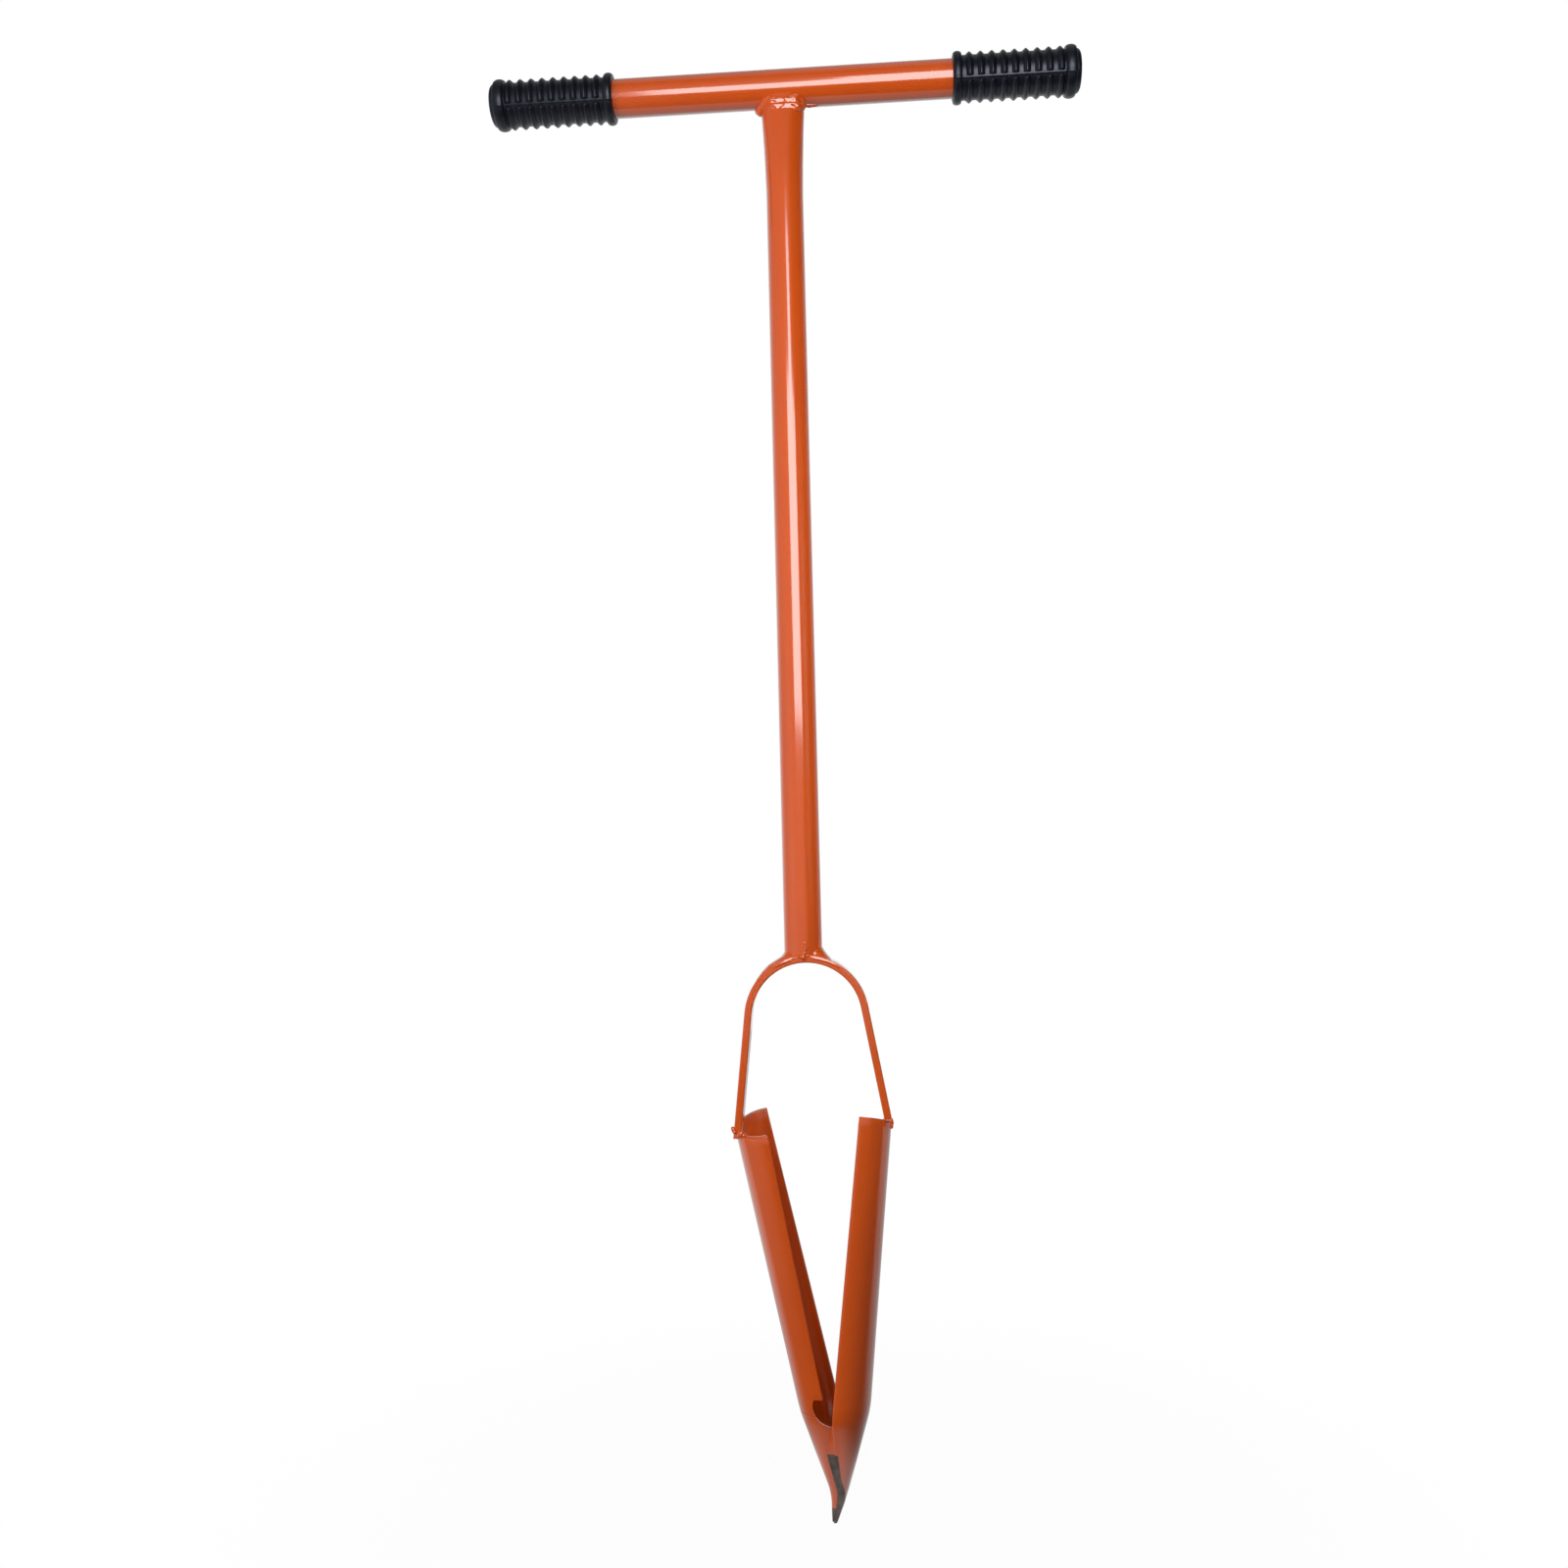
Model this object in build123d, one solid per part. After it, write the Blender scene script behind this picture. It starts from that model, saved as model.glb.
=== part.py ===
"""Hand earth auger: tube handle with rubber grips, tube shaft, bent bar bow and two half-pipe blades.

The frame has +Z up and the origin under the shaft's axis, at the level of the blade tips.
X runs along the handle. The head is built about its own axis, hanging from the top of the bow,
and is then hung under the shaft with the small lean that it was welded with. The two blades are
one shape, turned half a turn about the head's axis. Sizes are in millimetres and degrees.
"""
import os
from math import acos, atan2, cos, hypot, radians, sin, sqrt, tan

from build123d import *

# Handle and shaft tubes
HANDLE_HEIGHT = 967.0
TUBE_DIAMETER = 25.4
TUBE_WALL = 2.0
HANDLE_LENGTH = 409.5

# Flattened top of the shaft, where it meets the handle
SHAFT_TOP_WIDTH = 32.0
SHAFT_TOP_DEPTH = 19.0
SHAFT_FLARE_LENGTH = 78.0
FLARE_NECK_SHARE = 0.45
FLARE_NECK_SWELL = 0.28

# Rubber grips
GRIP_LENGTH = 87.2
GRIP_ROOT_DIAMETER = 28.4
GRIP_RIB_DIAMETER = 32.4
GRIP_COLLAR_DIAMETER = 33.8
GRIP_COLLAR_WIDTH = 6.4
GRIP_FLANGE_WIDTH = 8.0
GRIP_RIB_COUNT = 9
GRIP_RIB_PITCH = 7.7
GRIP_RIB_WIDTH = 5.6
GRIP_FIRST_RIB = 11.4
GRIP_END_WALL = 4.0
GRIP_DOME_HEIGHT = 3.0
GRIP_DOME_BULGE = 0.8
GRIP_DOME_DIAMETER = 20.0
GRIP_FIT = 0.1

# Bow of bent flat bar
BAR_DEPTH = 25.0
BAR_THICKNESS = 5.0
BAR_EDGE_RADIUS = 1.0
BOW_INNER_RADIUS = 36.4

# Blades, two halves of one pipe
HEAD_LENGTH = 368.5
HEAD_LEAN = 2.0
HEAD_TURN = 1.8
BLADE_PAIR_LEAN = 1.0
PIPE_DIAMETER = 38.1
PIPE_WALL = 3.0
BLADE_LEAN = 8.9
RIM_HEIGHT = 256.6
RIM_SLANT = 19.0
RIGHT_RIM_DROP = 2.9
RIGHT_RIM_SLANT = 15.5
POINT_HEIGHT = 75.0
POINT_OFFSET = 4.7
POINT_LAP = 2.1
TIP_DIAMETER = 3.4
TIP_WALL = 1.5
TIP_LAP = 0.95
TIP_DRIFT = 5.8
HOOK_HEIGHT = 18.0
HOOK_DIAMETER = 8.8
HOOK_WALL = 1.8
HOOK_OFFSET = 1.1
HOOK_DRIFT = 1.4
HOOK_LAP = 1.3
LEAD_ANGLE_HOOK = 118.0
LEAD_ANGLE_RIM = 101.5
LEAD_ANGLE_POINT = 110.5
LEAD_ANGLE_TIP = 124.0
TRAIL_ANGLE_RIM = 98.5
TRAIL_ANGLE_POINT = 86.0
TRAIL_ANGLE_LAP = 112.0
TRAIL_ANGLE_TIP = 70.0

# Saw notch in each trailing edge, where the pipe is folded to the point
NOTCH_TOP = 8.5
NOTCH_FOOT = -9.5
NOTCH_DEPTH = 13.2
NOTCH_MOUTH = 3.5
NOTCH_WAIST = 11.4
NOTCH_WAIST_RISE = 5.0

# Ground cutting lip on each leading edge
LIP_HEIGHT = 48.0
LIP_REACH = 5.4
LIP_FOOT = 20.0
LIP_FOOT_REACH = 0.5
LIP_ROOT_ANGLE = 6.0

# Weld runs
HANDLE_WELD_LEG = 3.2
HANDLE_WELD_TOE = 0.6
HANDLE_WELD_DROP = 5.0
BOW_WELD_LEG = 6.0
BOW_WELD_RISE = 4.0
BOW_WELD_TOE = 0.6
BOW_WELD_LIP = 1.6
BLADE_WELD_LEG = 1.6
BLADE_WELD_RISE = 6.0
BLADE_WELD_DROP = 5.0
TIP_WELD_FOOT = 12.0
TIP_WELD_TOP = 30.0
TIP_WELD_BITE = 2.6

# Worked out from the sizes above
TUBE_RADIUS = TUBE_DIAMETER / 2
BORE_RADIUS = TUBE_RADIUS - TUBE_WALL
PIPE_RADIUS = PIPE_DIAMETER / 2
TIP_RADIUS = TIP_DIAMETER / 2
HOOK_RADIUS = HOOK_DIAMETER / 2
BOW_OUTER_RADIUS = BOW_INNER_RADIUS + BAR_THICKNESS
TIP_LEAN = radians(HEAD_LEAN + BLADE_PAIR_LEAN)
TIP_SWING = RIM_HEIGHT * cos(TIP_LEAN) + (TIP_RADIUS + TIP_DRIFT) * sin(TIP_LEAN)
HEAD_TOP = (HEAD_LENGTH - RIM_HEIGHT) * cos(radians(HEAD_LEAN)) + TIP_SWING
BLADE_SLOPE = tan(radians(BLADE_LEAN))
CLEAR_OF_PART = 4 * PIPE_DIAMETER

# Height and slant of each blade's rim, which were cut by hand and differ
LEFT_RIM = (RIM_HEIGHT, RIM_SLANT)
RIGHT_RIM = (RIM_HEIGHT - RIGHT_RIM_DROP, RIGHT_RIM_SLANT)


def head_z(height):
    """Level in the head's own frame of a height above the blade tips."""
    return height - HEAD_LENGTH


def hang_head(shape):
    """Hang a piece of the head under the shaft, with the head's lean and turn."""
    return Pos(0, 0, HEAD_TOP) * Rot(0, -HEAD_LEAN, 0) * Rot(0, 0, HEAD_TURN) * shape


def set_blades(shape):
    """Lean a piece of the pair of blades in the bow, about the middle of the rims."""
    rims = Pos(0, 0, head_z(RIM_HEIGHT))
    return rims * Rot(0, -BLADE_PAIR_LEAN, 0) * rims.inverse() * shape


def half_turn(shape):
    """The same piece on the other side of the head."""
    return Rot(0, 0, 180) * shape


def main_solid(shape):
    """The largest solid of a cut piece, without crumbs."""
    return max(shape.solids(), key=lambda solid: solid.volume)


# Handle tube

def handle_core(radius):
    """Round bar of the handle's length less the end walls of the grips, along X."""
    length = HANDLE_LENGTH - 2 * GRIP_END_WALL - 2 * GRIP_FIT
    return Pos(0, 0, HANDLE_HEIGHT) * Rot(0, 90, 0) * Cylinder(radius, length)


def make_handle_tube():
    return handle_core(TUBE_RADIUS) - handle_core(BORE_RADIUS)


# Grips

def grip_profile():
    """Half section of a grip in (distance from its mouth, radius), closed on its bore and its axis."""
    bore = TUBE_RADIUS + GRIP_FIT
    root = GRIP_ROOT_DIAMETER / 2
    dome = GRIP_DOME_DIAMETER / 2
    seat = GRIP_LENGTH - GRIP_END_WALL
    flange = GRIP_LENGTH - GRIP_DOME_HEIGHT - GRIP_FLANGE_WIDTH / 2
    rings = [(GRIP_COLLAR_WIDTH / 2, GRIP_COLLAR_WIDTH, GRIP_COLLAR_DIAMETER / 2)]
    for index in range(GRIP_RIB_COUNT):
        middle = GRIP_FIRST_RIB + index * GRIP_RIB_PITCH
        rings.append((middle, GRIP_RIB_WIDTH, GRIP_RIB_DIAMETER / 2))
    rings.append((flange, GRIP_FLANGE_WIDTH, GRIP_COLLAR_DIAMETER / 2))
    edges = [Line((0, bore), (0, root))]
    here = 0.0
    for middle, width, radius in rings:
        start = middle - width / 2
        end = middle + width / 2
        if start > here:
            edges.append(Line((here, root), (start, root)))
        edges.append(ThreePointArc((start, root), (middle, radius), (end, root)))
        here = end
    shoulder = ((here + GRIP_LENGTH) / 2 + GRIP_DOME_BULGE, (root + dome) / 2 + GRIP_DOME_BULGE)
    edges.append(ThreePointArc((here, root), shoulder, (GRIP_LENGTH, dome)))
    edges.append(Line((GRIP_LENGTH, dome), (GRIP_LENGTH, 0)))
    edges.append(Line((GRIP_LENGTH, 0), (seat, 0)))
    edges.append(Line((seat, 0), (seat, bore)))
    edges.append(Line((seat, bore), (0, bore)))
    return make_face(edges)


def make_grip(side):
    """One grip, pushed on to the end of the handle on the side given by +1 or -1."""
    grip = revolve(grip_profile(), Axis.X)
    mouth = HANDLE_LENGTH / 2 - GRIP_LENGTH
    turned = Rot(0, 0, 0) if side > 0 else Rot(0, 0, 180)
    return Pos(0, 0, HANDLE_HEIGHT) * turned * Pos(mouth, 0, 0) * grip


# Shaft tube with its flattened top

def shaft_oval(share, inset):
    """Oval of the shaft's flare, from 0 at its round foot to 1 at the handle."""
    half_width = TUBE_RADIUS + share * (SHAFT_TOP_WIDTH / 2 - TUBE_RADIUS) - inset
    half_depth = TUBE_RADIUS + share * (SHAFT_TOP_DEPTH / 2 - TUBE_RADIUS) - inset
    return Ellipse(half_width, half_depth)


def shaft_flare(inset):
    """Solid of the flare, up to the handle's axis, taken in by the inset."""
    foot = HANDLE_HEIGHT - SHAFT_FLARE_LENGTH
    neck = foot + FLARE_NECK_SHARE * SHAFT_FLARE_LENGTH
    sections = [
        Pos(0, 0, foot) * shaft_oval(0.0, inset),
        Pos(0, 0, neck) * shaft_oval(FLARE_NECK_SWELL, inset),
        Pos(0, 0, HANDLE_HEIGHT) * shaft_oval(1.0, inset),
    ]
    return loft(sections)


def shaft_core(inset):
    """Whole shaft as a solid, from below the bow's crown to the handle's axis."""
    foot = HEAD_TOP - BOW_OUTER_RADIUS / 2
    top = HANDLE_HEIGHT - SHAFT_FLARE_LENGTH
    straight = Pos(0, 0, foot) * Cylinder(
        TUBE_RADIUS - inset, top - foot, align=(Align.CENTER, Align.CENTER, Align.MIN)
    )
    return straight + shaft_flare(inset)


def bow_crown():
    """Round block that fills the bow's outer bend, used to cope the shaft's foot."""
    centre = Pos(0, 0, -BOW_OUTER_RADIUS)
    return hang_head(centre * Rot(90, 0, 0) * Cylinder(BOW_OUTER_RADIUS, 2 * TUBE_DIAMETER))


def make_shaft_tube():
    shaft = shaft_core(0.0) - shaft_core(TUBE_WALL)
    shaft = shaft - handle_core(TUBE_RADIUS) - bow_crown()
    return main_solid(shaft)


# Bow

def bow_leg_lean():
    """Lean of the legs, at which they leave the arch straight and come down on the blades' rims."""
    reach = blade_centre(RIM_HEIGHT) + PIPE_RADIUS
    drop = -BOW_OUTER_RADIUS - head_z(RIM_HEIGHT)
    return acos(BOW_OUTER_RADIUS / hypot(reach, drop)) - atan2(drop, reach)


def bow_outline():
    """Front view of the bow in the head's frame: an arch with two straight legs that lean out."""
    lean = bow_leg_lean()
    centre = -BOW_OUTER_RADIUS
    leg = (centre - head_z(RIM_HEIGHT)) / cos(lean) + BAR_DEPTH

    def leg_points(radius, side):
        hip = (side * radius * cos(lean), centre + radius * sin(lean))
        foot = (hip[0] + side * leg * sin(lean), hip[1] - leg * cos(lean))
        return hip, foot

    outer_right, outer_right_foot = leg_points(BOW_OUTER_RADIUS, 1)
    inner_right, inner_right_foot = leg_points(BOW_INNER_RADIUS, 1)
    outer_left, outer_left_foot = leg_points(BOW_OUTER_RADIUS, -1)
    inner_left, inner_left_foot = leg_points(BOW_INNER_RADIUS, -1)
    return make_face(
        [
            ThreePointArc(outer_left, (0, 0), outer_right),
            Line(outer_right, outer_right_foot),
            Line(outer_right_foot, inner_right_foot),
            Line(inner_right_foot, inner_right),
            ThreePointArc(inner_right, (0, centre + BOW_INNER_RADIUS), inner_left),
            Line(inner_left, inner_left_foot),
            Line(inner_left_foot, outer_left_foot),
            Line(outer_left_foot, outer_left),
        ]
    )


def rim_plane(rim):
    """Plane of a slanted rim on the right blade, square to the blade's lean, leading side up."""
    height, slant = rim
    rim_centre = blade_centre(height)
    up = (BLADE_SLOPE, tan(radians(slant)), 1)
    return Plane(origin=(rim_centre + PIPE_RADIUS, 0, head_z(height)), x_dir=(0, 1, 0), z_dir=up)


def beyond_rim(rim, direction):
    """Block on one side of a rim's plane, above it for +1 and below it for -1."""
    block = Box(CLEAR_OF_PART, CLEAR_OF_PART, CLEAR_OF_PART, align=(Align.CENTER, Align.CENTER, Align.MIN))
    flip = Rot(0, 0, 0) if direction > 0 else Rot(180, 0, 0)
    return Location(rim_plane(rim)) * flip * block


def right_half():
    """Block that holds the right half of the head."""
    return Pos(CLEAR_OF_PART, 0, head_z(RIM_HEIGHT)) * Box(
        2 * CLEAR_OF_PART, 2 * CLEAR_OF_PART, 2 * CLEAR_OF_PART
    )


def bow_shape():
    """The bow in the head's frame, with its feet cut to sit on the blades' rims."""
    bow = extrude(Plane.XZ * bow_outline(), BAR_DEPTH / 2, both=True)
    faces = bow.faces().filter_by(Axis.Y)
    bow = fillet(faces.edges(), BAR_EDGE_RADIUS)
    right_cut = beyond_rim(RIGHT_RIM, -1) & right_half()
    left_cut = half_turn(beyond_rim(LEFT_RIM, -1) & right_half())
    return main_solid(bow - set_blades(right_cut) - set_blades(left_cut))


# Blades

def blade_centre(height):
    """Distance of the right blade's pipe centre from the head's axis, above the fold."""
    return POINT_OFFSET + (height - POINT_HEIGHT) * BLADE_SLOPE


def trough_section(height, centre, radius, wall, lead, trail):
    """Curved slice of the right blade: the lead and trail angles run from its back, to either side."""
    sweep = lead + trail
    outer = CenterArc(centre, radius, -lead, sweep)
    inner = CenterArc(centre, radius - wall, -lead, sweep)
    ends = [Line(outer @ 0, inner @ 0), Line(outer @ 1, inner @ 1)]
    return Pos(0, 0, head_z(height)) * make_face([outer, inner] + ends)


def rim_share(height):
    """How far a height lies from the fold, at 0, towards the rim, at 1."""
    return (height - POINT_HEIGHT) / (RIM_HEIGHT - POINT_HEIGHT)


def upper_section(height):
    """Slice of the straight part of the right blade."""
    share = rim_share(height)
    lap = POINT_LAP * (1 - share)
    lead = LEAD_ANGLE_POINT + share * (LEAD_ANGLE_RIM - LEAD_ANGLE_POINT)
    trail = TRAIL_ANGLE_POINT + share * (TRAIL_ANGLE_RIM - TRAIL_ANGLE_POINT)
    return trough_section(height, (blade_centre(height), -lap), PIPE_RADIUS, PIPE_WALL, lead, trail)


def saw_notch():
    """Notch through the right blade's trailing edge at the fold, as a block along Y."""
    top = head_z(POINT_HEIGHT + NOTCH_TOP)
    foot = head_z(POINT_HEIGHT + NOTCH_FOOT)
    waist = (NOTCH_WAIST, foot + NOTCH_WAIST_RISE)
    far = -PIPE_DIAMETER
    outline = make_face(
        [
            ThreePointArc((NOTCH_DEPTH, top), waist, (NOTCH_MOUTH, foot)),
            Line((NOTCH_MOUTH, foot), (far, foot)),
            Line((far, foot), (far, top)),
            Line((far, top), (NOTCH_DEPTH, top)),
        ]
    )
    return extrude(Plane.XZ * outline, -PIPE_DIAMETER)


def lip_section(height, reach, side):
    """Wedge slice of the cutting lip, from the two corners of the leading edge out to the lip's edge."""
    share = (height - HOOK_HEIGHT) / (POINT_HEIGHT - HOOK_HEIGHT)
    radius = HOOK_RADIUS + share * (PIPE_RADIUS - HOOK_RADIUS)
    wall = HOOK_WALL + share * (PIPE_WALL - HOOK_WALL)
    lead = LEAD_ANGLE_HOOK + share * (LEAD_ANGLE_POINT - LEAD_ANGLE_HOOK)
    root = radians(lead - LIP_ROOT_ANGLE)
    foot = HOOK_OFFSET - side * HOOK_DRIFT
    across = foot + share * (POINT_OFFSET - foot)
    ahead = -HOOK_LAP - share * (POINT_LAP - HOOK_LAP)
    outer = (across + radius * cos(root), ahead - radius * sin(root))
    inner = (across + (radius - wall) * cos(root), ahead - (radius - wall) * sin(root))
    edge = (across + (radius - wall) * cos(radians(lead)) - reach, inner[1])
    return Pos(0, 0, head_z(height)) * make_face([Line(outer, inner), Line(inner, edge), Line(edge, outer)])


def cutting_lip(side):
    """Ground lip along the leading edge of the right blade's point."""
    foot = lip_section(LIP_FOOT, LIP_FOOT_REACH, side)
    return loft([foot, lip_section(LIP_HEIGHT, LIP_REACH, side)], ruled=True)


def blade_shape(side, rim):
    """The blade of the right side, or of the left for -1, in the right blade's place."""
    above_rim = RIM_HEIGHT + PIPE_DIAMETER
    upper = loft([upper_section(POINT_HEIGHT), upper_section(above_rim)], ruled=True)
    fold = trough_section(
        POINT_HEIGHT, (POINT_OFFSET, -POINT_LAP), PIPE_RADIUS, PIPE_WALL, LEAD_ANGLE_POINT, TRAIL_ANGLE_LAP
    )
    hook_centre = (HOOK_OFFSET + side * -HOOK_DRIFT, -HOOK_LAP)
    hook = trough_section(
        HOOK_HEIGHT, hook_centre, HOOK_RADIUS, HOOK_WALL, LEAD_ANGLE_HOOK, TRAIL_ANGLE_LAP
    )
    tip_centre = (side * -TIP_DRIFT, -TIP_LAP)
    tip = trough_section(0, tip_centre, TIP_RADIUS, TIP_WALL, LEAD_ANGLE_TIP, TRAIL_ANGLE_TIP)
    point = loft([tip, hook, fold], ruled=True)
    blade = upper - beyond_rim(rim, 1) + point - saw_notch()
    return main_solid(blade + cutting_lip(side))


# Welds

def make_handle_weld():
    """Fillet of weld round the shaft's top, under the handle."""
    foot = HANDLE_HEIGHT - TUBE_RADIUS - HANDLE_WELD_DROP
    crown = HANDLE_HEIGHT - SHAFT_TOP_DEPTH / 4
    half_width = SHAFT_TOP_WIDTH / 2
    half_depth = SHAFT_TOP_DEPTH / 2
    collar = loft(
        [
            Pos(0, 0, foot) * Ellipse(half_width + HANDLE_WELD_TOE, half_depth + HANDLE_WELD_TOE),
            Pos(0, 0, crown) * Ellipse(half_width + HANDLE_WELD_LEG, half_depth + HANDLE_WELD_LEG),
        ]
    )
    return main_solid(collar - handle_core(TUBE_RADIUS) - shaft_core(0.0))


def make_bow_weld(bow):
    """Fillet of weld round the shaft's foot, on the bow's crown."""
    crown_drop = BOW_OUTER_RADIUS - sqrt(BOW_OUTER_RADIUS**2 - (TUBE_RADIUS + BOW_WELD_LEG) ** 2)
    height = BOW_WELD_RISE + crown_drop
    standing = (Align.CENTER, Align.CENTER, Align.MIN)
    cone = Cone(TUBE_RADIUS + BOW_WELD_LEG, TUBE_RADIUS + BOW_WELD_TOE, height, align=standing)
    cone = Pos(0, 0, HEAD_TOP - crown_drop) * cone
    slab = Pos(0, 0, HEAD_TOP) * Box(4 * TUBE_DIAMETER, BAR_DEPTH + 2 * BOW_WELD_LIP, 4 * TUBE_DIAMETER)
    return main_solid((cone & slab) - shaft_core(0.0) - bow)


def weld_mound(rim):
    """Mound that stands round the foot of the bow's right leg, through the blade's rim."""
    width = BAR_DEPTH / 2 + BLADE_WELD_LEG
    run = BAR_THICKNESS / 2 + BLADE_WELD_LEG
    middle = BAR_THICKNESS / 2
    swell = BLADE_WELD_LEG / 2
    sections = [
        Pos(0, middle, -BLADE_WELD_DROP) * Ellipse(width, run),
        Pos(0, middle, 0) * Ellipse(width + swell, run + swell),
        Pos(0, middle, BLADE_WELD_RISE) * Ellipse(width - swell, run - swell),
    ]
    return Location(rim_plane(rim)) * loft(sections)


def make_tip_weld(right_blade, left_blade):
    """Plug of weld inside the folded point, which holds the two blades together."""

    def section(height):
        share = (height - HOOK_HEIGHT) / (POINT_HEIGHT - HOOK_HEIGHT)
        hook_bore = HOOK_RADIUS - HOOK_WALL
        bore = hook_bore + share * (PIPE_RADIUS - PIPE_WALL - hook_bore)
        return Pos(-HOOK_DRIFT * (1 - share), 0, head_z(height)) * Circle(bore + TIP_WELD_BITE)

    plug = loft([section(TIP_WELD_FOOT), section(TIP_WELD_TOP)])
    return main_solid(hang_head(set_blades(plug)) - right_blade - left_blade)


# Assembly

def make_parts():
    """Every node of the auger by name, in place."""
    head_bow = bow_shape()
    bow = hang_head(head_bow)
    right_shape = set_blades(blade_shape(1, RIGHT_RIM))
    left_shape = set_blades(half_turn(blade_shape(-1, LEFT_RIM)))
    right_mound = set_blades(weld_mound(RIGHT_RIM))
    left_mound = set_blades(half_turn(weld_mound(LEFT_RIM)))
    right_blade = hang_head(right_shape)
    left_blade = hang_head(left_shape)
    return {
        "handle_tube": make_handle_tube(),
        "left_grip": make_grip(-1),
        "right_grip": make_grip(1),
        "handle_weld": make_handle_weld(),
        "shaft_tube": make_shaft_tube(),
        "bow_weld": make_bow_weld(bow),
        "bow_bar": bow,
        "left_blade_weld": hang_head(main_solid(left_mound - head_bow - left_shape)),
        "right_blade_weld": hang_head(main_solid(right_mound - head_bow - right_shape)),
        "left_blade": left_blade,
        "right_blade": right_blade,
        "tip_weld": make_tip_weld(right_blade, left_blade),
    }


def main():
    os.makedirs("parts", exist_ok=True)
    for name, shape in make_parts().items():
        export_step(shape, os.path.join("parts", name + ".step"))


main()
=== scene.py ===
"""Dresses the packed hand earth auger: paint, rubber grips, weld beads, ground lips and a studio.

The packed model is the frame. Tubes and bow keep their packed shapes and get their paint here. The
grips, the blades and the weld runs are made here in full, in the places of their packed nodes.
Lengths are in metres in the packed model's frame, with +Z up and -Y towards the camera.
"""
import math

import bmesh
import bpy
from bpy.props import FloatProperty, FloatVectorProperty, IntProperty, PointerProperty
from bpy.types import NodeSocket, Operator, Panel, PropertyGroup
from mathutils import Matrix, Vector, noise


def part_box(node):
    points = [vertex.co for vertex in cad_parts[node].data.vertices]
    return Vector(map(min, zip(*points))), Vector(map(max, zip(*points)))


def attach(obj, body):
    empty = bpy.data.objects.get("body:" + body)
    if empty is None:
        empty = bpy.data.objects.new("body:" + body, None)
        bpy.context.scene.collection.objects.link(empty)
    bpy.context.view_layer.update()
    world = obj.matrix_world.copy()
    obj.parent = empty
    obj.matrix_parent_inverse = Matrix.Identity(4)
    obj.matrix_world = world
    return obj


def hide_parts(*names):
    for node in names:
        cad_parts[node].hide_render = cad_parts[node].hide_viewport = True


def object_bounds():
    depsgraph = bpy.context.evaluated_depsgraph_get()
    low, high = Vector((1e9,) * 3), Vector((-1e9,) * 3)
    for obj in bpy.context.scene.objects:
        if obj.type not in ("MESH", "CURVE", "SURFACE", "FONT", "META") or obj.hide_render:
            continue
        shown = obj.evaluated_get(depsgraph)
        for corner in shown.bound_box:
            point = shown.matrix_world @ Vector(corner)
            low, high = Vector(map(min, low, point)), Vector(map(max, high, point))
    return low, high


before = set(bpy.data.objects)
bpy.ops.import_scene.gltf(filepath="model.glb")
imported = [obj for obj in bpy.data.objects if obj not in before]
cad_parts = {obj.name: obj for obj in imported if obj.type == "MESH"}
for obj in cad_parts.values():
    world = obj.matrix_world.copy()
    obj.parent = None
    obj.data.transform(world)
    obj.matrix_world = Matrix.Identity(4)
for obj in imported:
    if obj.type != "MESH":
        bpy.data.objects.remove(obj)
CAD_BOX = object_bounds()

bl_info = {
    "name": "Hand earth auger",
    "version": (1, 0, 0),
    "blender": (4, 5, 0),
    "location": "3D View > Sidebar > Auger",
    "description": "Dresses the packed earth auger and sets its studio",
    "category": "Object",
}

MM = 0.001
BODY = "root"
PAINTED_NODES = ("handle_tube", "shaft_tube", "bow_bar")


def mm(*points):
    """Points in metres, given in millimetres."""
    return tuple(tuple(value * MM for value in point) for point in points)


# Finishes: name, settings with its colours, clouds (scale, amount), grain (scale, stretch, smooth,
# rough), relief (strength, height) and plain values of the shader
ENAMEL = (
    "Orange enamel", ("paint", "paint_deep"), (16.0, 0.6), (240.0, 1.0, 0.12, 0.18),
    (0.006, 0.4 * MM), {"IOR": 1.6, "Coat Weight": 1.0, "Coat Roughness": 0.1},
)
RUBBER = (
    "Black rubber", ("rubber", "rubber_dust"), (90.0, 0.55), (1500.0, 1.0, 0.29, 0.39),
    (0.05, 0.2 * MM), {"IOR": 1.5, "Specular Tint": (0.80, 0.85, 1.0, 1.0)},
)
STEEL = (
    "Ground steel", ("steel", "steel_stain"), (160.0, 0.9), (900.0, 5.0, 0.36, 0.55),
    (0.35, 0.3 * MM), {"Metallic": 0.55},
)
CLOUD_SPAN, POLISH_SPAN = (0.35, 0.68), (0.3, 0.7)
CLOUD_NOISE = {"Detail": 4.0, "Roughness": 0.55}
GRAIN_NOISE = {"Detail": 3.0, "Roughness": 0.6}
POLISH_NOISE = {"Scale": 14.0, "Detail": 3.0}

# Grips
BORE_GAP = 0.1 * MM
BORE_POINTS = 3
END_WALL = 4.0 * MM
END_DOME = 3.0 * MM
END_FLAT_RADIUS = 10.0 * MM
FLANGE_WIDTH = 8.0 * MM
COLLAR_WIDTH = 6.4 * MM
MOUTH_ROUND = 0.6 * MM
SWELL_POWER = 0.8
COLLAR_STEPS, FLANGE_STEPS, DOME_STEPS = 14, 16, 8
SLEEVE_COLUMNS = 96
SEAM_TURN = math.radians(29.0)
SEAM_HALF_TURN = math.radians(1.6)
SEAM_RISE = 0.25 * MM
RIB_STEPS, RIB_COLUMNS = 48, 12
RIB_END_TURN = math.radians(5.0)
RIB_END_LEAST, RIB_END_WIDTH = 0.08, 0.55
RIB_SINK = 0.6 * MM
RIB_SOFT = 0.22
GRIP_SHARP = math.radians(50.0)

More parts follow.
